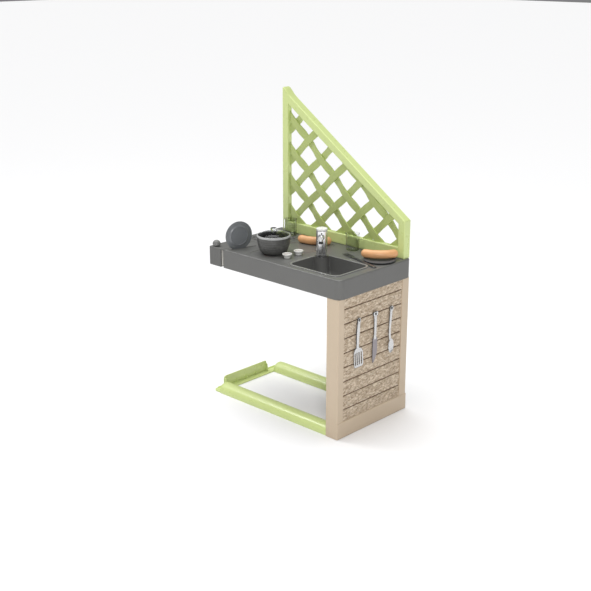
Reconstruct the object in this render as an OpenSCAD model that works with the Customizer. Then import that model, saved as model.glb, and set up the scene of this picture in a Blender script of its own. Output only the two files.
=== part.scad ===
// Outdoor play-kitchen unit: worktop with sink, hob and tap on one side panel and a floor frame,
// with a lattice back screen and a hook that hangs over the sill of a playhouse window.
// Frame: X to the right along the worktop, Y to the back, Z up; origin under the middle of the box.

/* [Worktop] */
// Height of the worktop's top face above the floor
top_z = 597; // [560:1:640]
// Width of the main worktop moulding
worktop_w = 585; // [570:1:600]
// Depth of the worktop, front to back
worktop_d = 396; // [394:1:400]
// Height of the worktop's apron
apron_h = 72; // [66:1:78]
// Corner radius at the front right of the worktop
front_corner_r = 28; // [12:1:34]

/* [Side panel] */
// Thickness of the side panel
panel_t = 54.4; // [48:0.2:60]
// Height of the plinth band under the stone-look insert
plinth_h = 63; // [50:1:80]
// Distance between two courses of the stone-look insert
course_pitch = 54.1; // [50:0.1:56]

/* [Lattice screen] */
// Height of the screen's tall left tip above the floor
screen_tip_z = 1165; // [1100:1:1200]
// Height of the screen's low right shoulder above the floor
screen_shoulder_z = 740; // [720:1:780]
// Depth of the screen's frame, front to back
screen_depth = 35; // [30:1:38]
// Width of the posts and of the sloped rail, seen from the front
member_w = 29; // [24:1:34]
// Width of one lattice slat
slat_w = 28; // [22:1:32]

/* [Floor frame] */
// Radius of the half-round floor beams
beam_r = 34; // [30:1:36]
// Height of the bracket's upright flange
flange_h = 48; // [40:1:60]
// Distance between the two holes in the flange
flange_hole_pitch = 200; // [180:1:210]

/* [Sink and tap] */
// Width of the sink's opening
sink_w = 222; // [200:1:224]
// Depth of the sink's opening, front to back
sink_d = 175; // [160:1:176]
// Diameter of the tap's column
tap_d = 41; // [36:1:44]
// Height of the tap's top above the worktop
tap_h = 111; // [106:1:130]

/* [Crockery] */
// Diameter of the pot at its rim
pot_d = 126; // [110:1:128]
// Height of the pot without its lid
pot_h = 68; // [60:1:76]
// Diameter of the plates
plate_d = 110; // [100:1:112]
// Height of the tumblers
tumbler_h = 64; // [56:1:72]
// Diameter of the tumblers at the rim
tumbler_d = 52; // [46:1:52]

/* [Hidden] */
$fn = 48;

wall = 4;             // wall of the large mouldings
fit = 0.05;           // radial running clearance of a pin in its bore
gap = 0.3;            // clearance between mouldings that do not touch

// Overall box
half_w = 333;                         // half of the overall width
front_y = -worktop_d / 2;
back_y = worktop_d / 2;
worktop_right = half_w - 3;
worktop_left = worktop_right - worktop_w;
apron_z = top_z - apron_h;
top_t = 5;
sill_gap = 14;                        // slot that takes the playhouse's sill or wall
hook_w = 64;
hook_left = -half_w;
hook_right = hook_left + hook_w;
clamp_xy = [hook_left + 25, front_y + 17];

// Side panel
panel_right = worktop_right - 5;
panel_left = panel_right - panel_t;
panel_front = front_y + 1;
panel_back = back_y - 2;
panel_mid_y = (panel_front + panel_back) / 2;
post_front_w = 31;
post_rear_w = 39;
insert_y0 = panel_front + post_front_w;
insert_y1 = panel_back - post_rear_w;
insert_t = 6;
insert_face = panel_right - 1.5;      // the insert lies just under the posts' faces
pocket_x = insert_face - insert_t;
cover_t = 4;
screw_r = 1.9;
screw_bore_r = 2;
cover_screw_y = [-140, 0, 130];
cover_screw_z = [75, 470];
worktop_screw_x = panel_right - 16;
worktop_screw_y = [-150, -50, 50, 150];

// Utensil pegs on the insert
peg_y = [-91, 0, 91];
peg_z = 431;
peg_r = 3;
utensil_x = insert_face + 2.4;        // back face of what hangs on the pegs
utensil_t = 5;
head_hole_r = 4.2;

rib_x = [-196, -112, 42];
rib_y = [-140, -28, 96];

// Hob
hob_x0 = worktop_left + 102;
hob_x1 = hob_x0 + 178;
hob_y0 = front_y + 27;
hob_y1 = hob_y0 + 314;
hob_depth = 2;
hob_z = top_z - hob_depth;
burner_x = -70;
front_burner = [burner_x, -103, 42];
rear_burner = [burner_x, 24, 77];
pot_xy = [-87, -96];
knob_x = -4;
knob_y = [-110, -50];
knob_spindle_r = 3;
knob_h = 17;

// Sink and tap
sink_x0 = 63;
sink_y1 = 7;
sink_x1 = sink_x0 + sink_w;
sink_y0 = sink_y1 - sink_d;
sink_wall = 3;
sink_corner_r = 24;
rim_w = 9;
rim_h = 3;
sink_floor_z = 531;
tap_xy = [82, -17];
tap_boss_r = 24;
tap_stem_r = 8;
tap_base_z = top_z + rim_h;
collar_h = 1.6;
tap_top_z = top_z + tap_h;
lever_h = 9;
spout_turn = -55;                     // the spout's direction from +X at rest
spout_z = top_z + 79;
spout_reach = 36;
nozzle_reach = 27;
spout_r = 10;

// Plate rack slot
slot_xy = [-224, -142];
slot_turn = 72;                       // direction of the slot from +X
slot_w = 7;

// Screen
screen_front = back_y - screen_depth;
screen_left = -293;
screen_right = 320;
screen_bottom = top_z;
bottom_rail_h = 41;
slope_a = 34.4;
flare_x = 35;                         // how far from the tip the top edge flares up
lattice_px = 132.8;
lattice_pz = 121.6;
lattice_x0 = -99.5;          // centre of one diamond
lattice_z0 = 848;
slat_t = 7;
slat_y = screen_front + 7;
lip_depth = 21;
screen_screw_x = [-236, -80, 76, 232];
screen_screw_y = back_y - 15;

// Floor frame
front_beam_y = -160;
rear_beam_y = 143;
beam_wall = 3.5;
bracket_x0 = -half_w;
bracket_w = 38;
beam_x0 = bracket_x0 + bracket_w + 2;
beam_x1 = panel_left;
flange_x = bracket_x0 + 8;
flange_t = 4;
flange_y0 = -145;
flange_y1 = 92;
flange_hole_r = 2.75;
flange_hole_z = 34;
flange_mid_y = (flange_y0 + flange_y1) / 2 - 4;

// Crockery
lid_rise = 15;
lid_z = hob_z + gap + pot_h + gap;
serving_xy = [267, 91];
serving_r = 59;

// Colours
green = [0.74, 0.81, 0.50];
grey = [0.43, 0.43, 0.42];
beige = [0.80, 0.71, 0.60];
stone = [0.74, 0.66, 0.55];
silver = [0.78, 0.77, 0.75];
charcoal = [0.24, 0.24, 0.23];
slate = [0.37, 0.38, 0.40];

// ---------- shared shapes ----------

// Rectangle from (x0, y0) to (x1, y1) with four true arc corners
module plan(x0, x1, y0, y1, r = [5, 5, 5, 5]) {
    c = [[x0, y0, 1, 1], [x1, y0, -1, 1], [x1, y1, -1, -1], [x0, y1, 1, -1]];
    difference() {
        translate([x0, y0]) square([x1 - x0, y1 - y0]);
        for (i = [0:3])
            if (r[i] > 0)
                translate([c[i][0], c[i][1]]) mirror([c[i][2] < 0 ? 1 : 0, 0]) mirror([0, c[i][3] < 0 ? 1 : 0])
                    difference() {
                        translate([-1, -1]) square(r[i] + 1);
                        translate([r[i], r[i]]) circle(r[i]);
                    }
    }
}

// The plan drawn up from z0 to z1
module block(x0, x1, y0, y1, z0, z1, r = 0) {
    translate([0, 0, z0]) linear_extrude(z1 - z0) plan(x0, x1, y0, y1, [r, r, r, r]);
}

// Cylinder along X from x0 to x1
module xrod(x0, x1, y, z, r) {
    translate([x0, y, z]) rotate([0, 90, 0]) cylinder(h = x1 - x0, r = r);
}

// Cylinder along Z from z0 to z1
module zrod(x, y, z0, z1, r) {
    translate([x, y, z0]) cylinder(h = z1 - z0, r = r);
}

// A profile in X and Z drawn along Y from y0 to y1
module along_y(y0, y1) {
    translate([0, y1, 0]) rotate([90, 0, 0]) linear_extrude(y1 - y0) children();
}

// A profile in Y and Z drawn along X from x0 to x1
module along_x(x0, x1) {
    translate([x0, 0, 0]) rotate([90, 0, 90]) linear_extrude(x1 - x0) children();
}

// Pan-head screw that points along +Z, with its head below z
module screw(x, y, z, length) {
    zrod(x, y, z, z + length, screw_r);
    zrod(x, y, z - 2.2, z, 4);
}

// ---------- side panel ----------

// Hollow shell, open to the inside, with a pocket for the insert in its outer face
module side_panel() color(beige) difference() {
    union() {
        difference() {
            block(panel_left, panel_right, panel_front, panel_back, 0, apron_z, 5);
            block(panel_left - 1, pocket_x - 3, panel_front + wall, panel_back - wall, wall, apron_z - wall);
            block(pocket_x - 4, panel_right - wall, panel_front + wall, insert_y0 - 3, wall, apron_z - wall);
            block(pocket_x - 4, panel_right - wall, insert_y1 + 3, panel_back - wall, wall, apron_z - wall);
            block(pocket_x, panel_right + 1, insert_y0, insert_y1, plinth_h, apron_z + 1);
        }
        for (y = cover_screw_y, z = cover_screw_z) xrod(panel_left + cover_t, pocket_x - 2, y, z, 5);
    }
    for (y = cover_screw_y, z = cover_screw_z) xrod(panel_left, pocket_x - 8, y, z, screw_bore_r);
    for (y = worktop_screw_y) zrod(worktop_screw_x, y, apron_z - wall - 1, apron_z + 1, screw_bore_r);
    for (y = peg_y) xrod(pocket_x - 4, pocket_x + 1, y, peg_z, peg_r + fit);
    plinth_line();
}

// Fine groove round the top of the plinth
module plinth_line() {
    block(panel_right - 1, panel_right + 1, panel_front - 1, panel_back + 1, plinth_h - 2, plinth_h);
    block(panel_right - 9, panel_right + 1, panel_front - 1, panel_front + 1, plinth_h - 2, plinth_h);
}

module panel_inner_cover() color(beige) difference() {
    block(panel_left, panel_left + cover_t, panel_front + wall + gap, panel_back - wall - gap,
        wall + gap, apron_z - wall - gap, 0);
    for (y = cover_screw_y, z = cover_screw_z) xrod(panel_left - 1, panel_left + cover_t + 1, y, z, screw_bore_r);
}

module panel_cover_screws() color(silver)
    for (y = cover_screw_y, z = cover_screw_z) {
        xrod(panel_left, pocket_x - 12, y, z, screw_r);
        xrod(panel_left - 2, panel_left, y, z, 4);
    }

// Courses of split stone, with a groove between each two
module stone_insert() color(stone) difference() {
    block(pocket_x, insert_face, insert_y0 + gap, insert_y1 - gap, plinth_h + gap, apron_z - gap);
    for (i = [0:7])
        block(insert_face - 2, insert_face + 1, insert_y0, insert_y1,
            484.3 - 1.5 - i * course_pitch, 484.3 + 1.5 - i * course_pitch);
    for (y = peg_y) xrod(pocket_x - 1, insert_face + 1, y, peg_z, peg_r + fit);
}

// Pegs with a small upturned lip
module utensil_pegs() color(charcoal)
    for (y = peg_y) {
        xrod(pocket_x - 3, half_w - 0.5, y, peg_z, peg_r);
        xrod(utensil_x + utensil_t + 0.5, half_w - 0.5, y, peg_z + 1, peg_r);
    }

// ---------- worktop ----------

module worktop_plan(inset) {
    r = [wall - 1, front_corner_r - inset, 20 - inset, wall - 1];
    plan(worktop_left + inset, worktop_right - inset, front_y + inset, back_y - inset, r);
}

module sink_plan(grow) {
    r = sink_corner_r + grow;
    plan(sink_x0 - grow, sink_x1 + grow, sink_y0 - grow, sink_y1 + grow, [r, r, r, r]);
}

module burner_groove(b) {
    translate([b[0], b[1], hob_z - 1]) difference() {
        cylinder(h = 2, r = b[2]);
        translate([0, 0, -1]) cylinder(h = 4, r = b[2] - 3);
    }
}

module rack_slot(w, z0, z1) {
    translate([slot_xy[0], slot_xy[1], z0]) rotate(slot_turn) linear_extrude(z1 - z0)
        plan(-32, 72, -w / 2, w / 2, [w / 2.1, w / 2.1, w / 2.1, w / 2.1]);
}

module worktop() color(grey) difference() {
    union() {
        difference() {
            translate([0, 0, apron_z]) linear_extrude(apron_h) worktop_plan(0);
            translate([0, 0, apron_z - 1]) linear_extrude(apron_h - top_t + 1) worktop_plan(wall);
        }
        // tongue that carries the sill hook
        block(hook_left + wall + 4, worktop_left + 1, front_y + 8, back_y - 8, top_z - top_t - 4, top_z - top_t);
        // bosses round the knob spindles and under the rack slot
        for (y = knob_y) zrod(knob_x, y, hob_z - 12, hob_z - 1, 7);
        rack_slot(slot_w + 6, top_z - 11, top_z - 2);
        // stiffening ribs under the top
        for (x = rib_x) block(x, x + 3, front_y + 2, back_y - 2, top_z - 25, top_z - 4);
        for (y = rib_y) block(worktop_left + 2, sink_x0 - 8, y, y + 3, top_z - 25, top_z - 4);
        // posts that the panel's screws bite into
        for (y = worktop_screw_y) zrod(worktop_screw_x, y, apron_z, top_z - 2, 6);
    }
    block(hob_x0, hob_x1, hob_y0, hob_y1, hob_z, top_z + 1, 30);
    burner_groove(front_burner);
    burner_groove(rear_burner);
    for (y = knob_y) zrod(knob_x, y, hob_z - 20, hob_z + 2, knob_spindle_r + fit);
    rack_slot(slot_w, top_z - 8, top_z + 1);
    translate([0, 0, apron_z - 1]) linear_extrude(apron_h + 2) sink_plan(sink_wall + gap);
    for (y = worktop_screw_y) zrod(worktop_screw_x, y, apron_z - 1, top_z - 20, screw_bore_r);
    for (x = screen_screw_x) zrod(x, screen_screw_y, top_z - 10, top_z + 1, screw_bore_r);
    zrod(clamp_xy[0], clamp_xy[1], top_z - 20, top_z, 4 + fit);
}

module worktop_screws() color(silver)
    for (y = worktop_screw_y) screw(worktop_screw_x, y, apron_z - wall, 34);

// Basin with a raised rim and a boss in its corner that carries the tap
module sink_basin() color(grey) difference() {
    union() {
        difference() {
            union() {
                translate([0, 0, sink_floor_z - sink_wall])
                    linear_extrude(top_z - sink_floor_z + sink_wall + 1) sink_plan(sink_wall);
                translate([0, 0, top_z]) linear_extrude(rim_h) sink_plan(rim_w);
            }
            translate([0, 0, sink_floor_z]) linear_extrude(100) sink_plan(0);
        }
        intersection() {
            translate([0, 0, sink_floor_z - 1]) cylinder_at(tap_xy, tap_base_z - sink_floor_z + 1, tap_boss_r);
            translate([0, 0, 500]) linear_extrude(200) sink_plan(2);
        }
    }
    translate([0, 0, sink_floor_z - sink_wall - 1])
        cylinder_at(tap_xy, tap_base_z - sink_floor_z - 4, tap_boss_r - 8);
    translate([0, 0, sink_floor_z]) cylinder_at(tap_xy, 100, tap_stem_r + fit);
    // drain recess
    translate([0, 0, sink_floor_z - 1.5]) cylinder_at([(sink_x0 + sink_x1) / 2, (sink_y0 + sink_y1) / 2], 5, 20);
}

module cylinder_at(xy, h, r) {
    translate([xy[0], xy[1], 0]) cylinder(h = h, r = r);
}

// ---------- sill hook ----------

// Open-bottomed cap whose right wall and the worktop's end wall form the slot over the sill
module sill_hook() color(grey) difference() {
    union() {
        translate([0, 0, apron_z]) linear_extrude(apron_h)
            plan(hook_left, hook_right, front_y, back_y, [8, 8, 8, 8]);
        block(hook_right - 20, worktop_left - gap, front_y + 3, back_y - 3, top_z - top_t, top_z);
    }
    translate([0, 0, apron_z - 1]) linear_extrude(apron_h - top_t + 1)
        plan(hook_left + wall, hook_right - wall, front_y + wall, back_y - wall, [4, 4, 4, 4]);
    block(hook_right - 10, worktop_left, front_y + 8 - gap, back_y - 8 + gap,
        top_z - top_t - 4 - gap, top_z - top_t);
    zrod(clamp_xy[0], clamp_xy[1], top_z - 20, top_z + 1, 4 + fit);
}

// Dome knob on a shank through the hook and the tongue
module clamp_knob() color(charcoal) {
    zrod(clamp_xy[0], clamp_xy[1], top_z - 26, top_z + 6, 4);
    translate([clamp_xy[0], clamp_xy[1], top_z + gap]) rotate_extrude() dome_profile(15.5, 24);
}

// Half outline of a dome: a waist, a round belly and a full top
module dome_profile(r, h) {
    intersection() {
        translate([0, 0]) square([r + 1, h]);
        union() {
            translate([0, h - r]) circle(r);
            square([r - 3, h - r]);
        }
    }
}

// Nut turned on to the shank's end under the tongue
module clamp_nut() color(silver) translate([clamp_xy[0], clamp_xy[1], top_z - top_t - 4 - 0.2 - 7]) difference() {
    cylinder(h = 7, r = 7.5, $fn = 6);
    translate([0, 0, -1]) cylinder(h = 9, r = 4 + fit);
}

// ---------- lattice screen ----------

// Top edge of the screen at x, a distance t inside the outer edge
function slope_z(x, t) = screen_shoulder_z + tan(slope_a) * (screen_right - x) - t / cos(slope_a);

// The screen's outline, a distance t inside the outer edge and tb above its foot
function outline(t, tb) = [
    [screen_left + t, screen_bottom + tb],
    [screen_right - t, screen_bottom + tb],
    [screen_right - t, slope_z(screen_right - t, t)],
    [screen_left + t, slope_z(screen_left + t, t)]];

// The tip flares up over its last stretch
module tip_flare(t) {
    base = slope_z(screen_left, 0);
    top = screen_tip_z - t;
    polygon([[screen_left + t, base - 30], [screen_left + t, top], [screen_left + 8, top],
        [screen_left + flare_x * 0.55, (top + slope_z(screen_left + flare_x * 0.55, t)) / 2 - 1],
        [screen_left + flare_x, slope_z(screen_left + flare_x, t)], [screen_left + flare_x, base - 50]]);
}

module screen_outer(t) {
    polygon(outline(t, t));
    tip_flare(t);
}

module screen_inner(grow) {
    polygon(outline(member_w - grow, bottom_rail_h - grow));
}

// Moulded channel, open to the back, with a deep outer wall and a short inner lip
module screen_frame() color(green) difference() {
    union() {
        difference() {
            along_y(screen_front, back_y) difference() {
                screen_outer(0);
                screen_inner(0);
            }
            along_y(screen_front + wall, back_y + 1) difference() {
                screen_outer(wall);
                screen_inner(wall);
            }
            along_y(screen_front + lip_depth, back_y + 1) difference() {
                screen_inner(wall + 1);
                screen_inner(-1);
            }
        }
        screen_webs();
        for (x = screen_screw_x) zrod(x, screen_screw_y, screen_bottom + 1, screen_bottom + bottom_rail_h - 6, 6);
    }
    for (x = screen_screw_x)
        zrod(x, screen_screw_y, screen_bottom - 1, screen_bottom + bottom_rail_h - 12, screw_bore_r);
}

// Thin webs across the channel, upright in the rails and level in the posts
module screen_webs() {
    intersection() {
        along_y(screen_front + wall - 1, screen_front + lip_depth) difference() {
            screen_outer(1);
            screen_inner(1);
        }
        union() {
            for (x = [-190:90:260]) block(x, x + 2.5, screen_front, back_y, screen_bottom + 2, screen_tip_z);
            for (z = [700:75:1080])
                for (x = [screen_left + 2, screen_right - member_w - 2])
                    block(x, x + member_w + 2, screen_front, back_y, z, z + 2.5);
        }
    }
}

// Parallel slats at the lattice's angle, cut off at the frame's inner edge
module slats(lean, y0) {
    a = atan2(lattice_pz, lattice_px);
    intersection() {
        along_y(y0, y0 + slat_t) screen_inner(0);
        for (i = [-6:6])
            translate([lattice_x0 + (i + 0.5) * lattice_px, y0 - 1, lattice_z0])
                rotate([0, lean * a, 0]) translate([-600, 0, -slat_w / 2]) cube([1200, slat_t + 2, slat_w]);
    }
}

module lattice_front_slats() color(green) slats(1, slat_y);
module lattice_back_slats() color(green) slats(-1, slat_y + slat_t);

module screen_screws() color(silver)
    for (x = screen_screw_x) screw(x, screen_screw_y, top_z - top_t, 26);

// ---------- floor frame ----------

module half_disc(y, r, z) {
    translate([y, z]) intersection() {
        circle(r);
        translate([-r - 1, 0]) square([2 * r + 2, r + 1]);
    }
}

module floor_beam(y) color(green) along_x(beam_x0, beam_x1) difference() {
    half_disc(y, beam_r, 0);
    intersection() {
        half_disc(y, beam_r - beam_wall, 0);
        translate([y - beam_r, beam_wall]) square([2 * beam_r, beam_r]);
    }
}

module front_floor_beam() floor_beam(front_beam_y);
module rear_floor_beam() floor_beam(rear_beam_y);

// Solid half-round plug in a beam's open end
module beam_plug(y) {
    along_x(bracket_x0 + bracket_w - 6, beam_x0 + 24) intersection() {
        half_disc(y, beam_r - beam_wall - gap, 0);
        translate([y - beam_r, beam_wall + gap]) square([2 * beam_r, beam_r]);
    }
    along_x(bracket_x0 + bracket_w - 6, beam_x0 - gap) half_disc(y, beam_r - 1, 0);
}

module floor_bracket() color(green) difference() {
    union() {
        translate([0, 0, 0]) linear_extrude(5)
            plan(bracket_x0, bracket_x0 + bracket_w, front_beam_y - beam_r + 1, rear_beam_y + beam_r - 1,
                [17, 2, 2, 12]);
        beam_plug(front_beam_y);
        beam_plug(rear_beam_y);
        along_x(flange_x, flange_x + flange_t)
            plan(flange_y0, flange_y1, 4, flange_h, [0, 0, 6, 12]);
        // return walls at both ends of the flange
        for (y = [flange_y0 + 2, flange_y1 - 6])
            along_y(y, y + 4) polygon([[flange_x, 4], [flange_x + 18, 4], [flange_x + 12, flange_h - 12],
                [flange_x, flange_h - 8]]);
        for (s = [-1, 1]) xrod(flange_x, flange_x + flange_t + 2, flange_mid_y + s * flange_hole_pitch / 2,
            flange_hole_z, 7);
    }
    for (s = [-1, 1]) xrod(flange_x - 1, flange_x + flange_t + 3, flange_mid_y + s * flange_hole_pitch / 2,
        flange_hole_z, flange_hole_r);
}
// ---------- hob knobs and tap ----------

// Flared knob with a dished top and a pointer rib, on a spindle that snaps in from above
module hob_knob(y) color("white") translate([knob_x, y, 0]) {
    translate([0, 0, hob_z - 16]) cylinder(h = 20, r = knob_spindle_r);
    translate([0, 0, hob_z - 15]) cylinder(h = 2.6, r = knob_spindle_r + 1.2);
    translate([0, 0, hob_z + gap]) rotate_extrude()
        polygon([[0, 0], [11.5, 0], [12.5, 2], [13, 7], [18.5, knob_h - 4], [18.5, knob_h - 1],
            [17.5, knob_h], [15, knob_h], [12.5, knob_h - 4], [0, knob_h - 4]]);
    translate([3, -1.2, hob_z + knob_h - 5]) cube([13, 2.4, 5]);
}

module hob_knob_front() hob_knob(knob_y[0]);
module hob_knob_rear() hob_knob(knob_y[1]);

module tap_collar() color(grey) translate([tap_xy[0], tap_xy[1], tap_base_z]) difference() {
    rotate_extrude() polygon([[0, 0], [25.5, 0], [25.5, 0.9], [24.8, collar_h], [0, collar_h]]);
    translate([0, 0, -1]) cylinder(h = collar_h + 2, r = tap_stem_r + fit);
}

// Column, stem and short spout with a nozzle that points down
module tap_body() color(silver) difference() {
    translate([tap_xy[0], tap_xy[1], 0]) {
        z0 = tap_base_z + collar_h + gap;
        translate([0, 0, z0]) cylinder(h = tap_top_z - lever_h - z0, d = tap_d);
        translate([0, 0, tap_base_z - 18]) cylinder(h = 40, r = tap_stem_r);
        rotate(spout_turn) {
            translate([0, 0, spout_z]) rotate([0, 90, 0]) cylinder(h = spout_reach, r = spout_r);
            translate([nozzle_reach, 0, spout_z - 22]) cylinder(h = 22, r = 8.5);
        }
    }
    translate([tap_xy[0], tap_xy[1], 0]) {
        translate([0, 0, tap_top_z - lever_h - 14]) cylinder(h = 20, r = 6 + fit);
        rotate(spout_turn) translate([nozzle_reach, 0, spout_z - 23]) cylinder(h = 10, r = 6);
    }
}

// Ring that holds the stem under the boss
module tap_nut() color(charcoal) translate([tap_xy[0], tap_xy[1], tap_base_z - 14.1]) difference() {
    cylinder(h = 6, r = 13);
    translate([0, 0, -1]) cylinder(h = 8, r = tap_stem_r + fit);
}

// Turning cap on the column with a low thumb ridge
module tap_lever() color("white") translate([tap_xy[0], tap_xy[1], 0]) {
    translate([0, 0, tap_top_z - lever_h - 12]) cylinder(h = 14, r = 6);
    translate([0, 0, tap_top_z - lever_h + gap]) cylinder(h = lever_h - gap - 3, d = tap_d);
    translate([0, 0, tap_top_z - 3]) cylinder(h = 3, d1 = tap_d, d2 = tap_d - 5);
    rotate(spout_turn) translate([2, -3.5, tap_top_z - 4]) cube([17.5, 7, 4]);
}

// ---------- crockery and food ----------

// Half profile of a round shell: outer radii at fractions of the height, with a wall
module pot_profile(d, h, w) {
    r = d / 2;
    polygon(concat(
        [[0, 0]],
        [for (i = [0:8]) let (f = i / 8) [r * (0.60 + 0.38 * sin(90 * f)), 1.2 + (h - 5) * (1 - cos(84 * f)) / (1 - cos(84))]],
        [[r, h - 3], [r, h], [r - w, h]],
        [for (i = [8:-1:0]) let (f = i / 8) [r * (0.60 + 0.38 * sin(90 * f)) - w, max(w, (h - 5) * (1 - cos(84 * f)) / (1 - cos(84)) + 1)]],
        [[0, w]]));
}

module pot() color(charcoal) translate([pot_xy[0], pot_xy[1], hob_z + gap]) {
    rotate_extrude() pot_profile(pot_d, pot_h, 2.6);
    rotate(45) for (s = [0, 180]) rotate(s) translate([0, 0, pot_h - 12]) linear_extrude(5) difference() {
        plan(pot_d / 2 - 2, pot_d / 2 + 17, -19, 19, [0, 9, 9, 0]);
        plan(pot_d / 2 + 1, pot_d / 2 + 11, -13, 13, [3, 5, 5, 3]);
        circle(pot_d / 2 - 1.5);
    }
}

// Shallow dome of even wall with a flat edge on the pot's rim
module pot_lid() color([0.8, 0.85, 0.85, 0.5]) translate([pot_xy[0], pot_xy[1], lid_z]) difference() {
    ball_r = (60 * 60 + lid_rise * lid_rise) / (2 * lid_rise);
    rotate_extrude() difference() {
        union() {
            square([62, 2.2]);
            intersection() {
                translate([0, lid_rise + 2.2 - ball_r]) circle(ball_r, $fn = 160);
                square([60, lid_rise + 2.2]);
            }
        }
        intersection() {
            translate([0, lid_rise + 0.2 - ball_r]) circle(ball_r, $fn = 160);
            translate([-1, -1]) square([59, lid_rise + 4]);
        }
    }
    translate([0, 0, 5]) cylinder(h = 30, r = 3 + fit);
}

module lid_knob() color([0.8, 0.85, 0.85, 0.6]) translate([pot_xy[0], pot_xy[1], lid_z + lid_rise]) {
    translate([0, 0, -3]) cylinder(h = 8, r = 3);
    translate([0, 0, 2.3]) rotate_extrude() polygon([[0, 0], [6, 0], [11, 5], [12, 8], [10.5, 10.5], [0, 11]]);
}

// Half profile of a plate that stands on its foot at height 0
module plate_profile(r) {
    polygon([[0, 1], [r * 0.6, 1], [r * 0.6, 0], [r * 0.66, 0], [r * 0.74, 3], [r, 5.2], [r, 7],
        [r * 0.72, 5], [r * 0.64, 3.4], [0, 3.4]]);
}

// Plate on edge in the rack slot, its underside towards the front right
module upright_plate() color(slate)
    translate([slot_xy[0], slot_xy[1], top_z - 7.2 + plate_d / 2]) rotate(slot_turn)
        rotate([90, 0, 0]) translate([0, 0, -3.5]) mirror([0, 0, 1]) translate([0, 0, -7])
            rotate_extrude() plate_profile(plate_d / 2);

module serving_plate() color(slate) translate([serving_xy[0], serving_xy[1], top_z + gap])
    rotate_extrude() plate_profile(serving_r);

// Bent sausage with round ends, its belly towards angle a
module sausage(x, y, z, a, r = 15.5, bend = 100, half_angle = 31) {
    translate([x, y, z]) rotate(a + 180) translate([bend, 0, 0]) rotate(180) {
        rotate(-half_angle) rotate_extrude(angle = 2 * half_angle) translate([bend, 0]) circle(r);
        for (s = [-1, 1]) rotate(s * (half_angle - 0.2)) translate([bend, 0, 0]) sphere(r - 0.15);
    }
}

module sausage_right() color([0.87, 0.62, 0.42])
    sausage(serving_xy[0], serving_xy[1], top_z + gap + 7.3 + 15.5, -49);
module sausage_rear() color([0.87, 0.62, 0.42]) sausage(-59, 92, hob_z + gap + 15.5, -64);

module tumbler(x) color([0.35, 0.37, 0.36, 0.5]) translate([x, 136, top_z + gap]) difference() {
    cylinder(h = tumbler_h, d1 = tumbler_d - 4, d2 = tumbler_d);
    translate([0, 0, 3]) cylinder(h = tumbler_h, d1 = tumbler_d - 7.6, d2 = tumbler_d - 3.6);
}

module tumbler_left() tumbler(-224);
module tumbler_right() tumbler(100);

// ---------- cutlery ----------

// Flat outline of a fork with its tines towards +X, centred on its handle's end
module fork_outline() {
    plan(0, 118, -5.5, 5.5, [5, 4, 4, 5]);
    plan(108, 150, -3.6, 3.6, [3, 3, 3, 3]);
    plan(145, 168, -12, 12, [9, 1, 1, 9]);
    for (i = [-1.5:1:1.5]) plan(160, 208, i * 6.6 - 2, i * 6.6 + 2, [0, 1.9, 1.9, 0]);
}

module table_fork() color(silver) translate([316, 7, top_z + gap]) rotate(162.4)
    linear_extrude(3) fork_outline();

// Flat outline drawn in a hanging utensil's own plane, with the peg at its origin
module utensil_flat(y) {
    translate([utensil_x, y, peg_z]) rotate([90, 0, 90]) linear_extrude(utensil_t) children();
}

// The same, with the round hole that hangs on the peg
module hanging(y) {
    utensil_flat(y) difference() {
        children();
        circle(head_hole_r);
    }
}

module slotted_turner() color(silver) hanging(peg_y[0]) difference() {
    union() {
        plan(-8, 8, -12, 8, [6, 6, 6, 6]);
        plan(-6.5, 6.5, -112, -4, [3, 3, 2, 2]);
        plan(-25, 25, -178, -104, [10, 10, 22, 22]);
    }
    for (i = [-1.5:1:1.5]) plan(i * 11 - 2.4, i * 11 + 2.4, -169, -122, [2.2, 2.2, 2.2, 2.2]);
}

module hanging_knife() color(silver) {
    hanging(peg_y[1]) {
        plan(-13, 13, -3, 9, [5, 5, 5, 5]);
        plan(-6.5, 6.5, -96, 0, [2, 2, 2, 2]);
    }
    utensil_flat(peg_y[1])
        polygon([[-9, -90], [-13, -98], [-13, -168], [-10, -187], [-7, -187], [8, -162], [13, -142], [13, -98],
            [9, -90]]);
}

module hanging_spoon() color(silver) hanging(peg_y[2]) {
    plan(-9, 9, -12, 8, [6, 6, 6, 6]);
    plan(-6, 6, -128, -4, [2, 2, 2, 2]);
    translate([0, -146]) plan(-15, 15, -27, 27, [14.5, 14.5, 14.5, 14.5]);
}

side_panel();
panel_inner_cover();
panel_cover_screws();
stone_insert();
utensil_pegs();
worktop();
worktop_screws();
sink_basin();
sill_hook();
clamp_knob();
clamp_nut();
screen_frame();
lattice_front_slats();
lattice_back_slats();
screen_screws();
front_floor_beam();
rear_floor_beam();
floor_bracket();
hob_knob_front();
hob_knob_rear();
tap_collar();
tap_body();
tap_nut();
tap_lever();
pot();
pot_lid();
lid_knob();
upright_plate();
serving_plate();
sausage_right();
sausage_rear();
tumbler_left();
tumbler_right();
table_fork();
slotted_turner();
hanging_knife();
hanging_spoon();
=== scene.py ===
import math
import bpy
import bmesh
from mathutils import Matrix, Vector, noise
from mathutils.geometry import delaunay_2d_cdt


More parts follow.
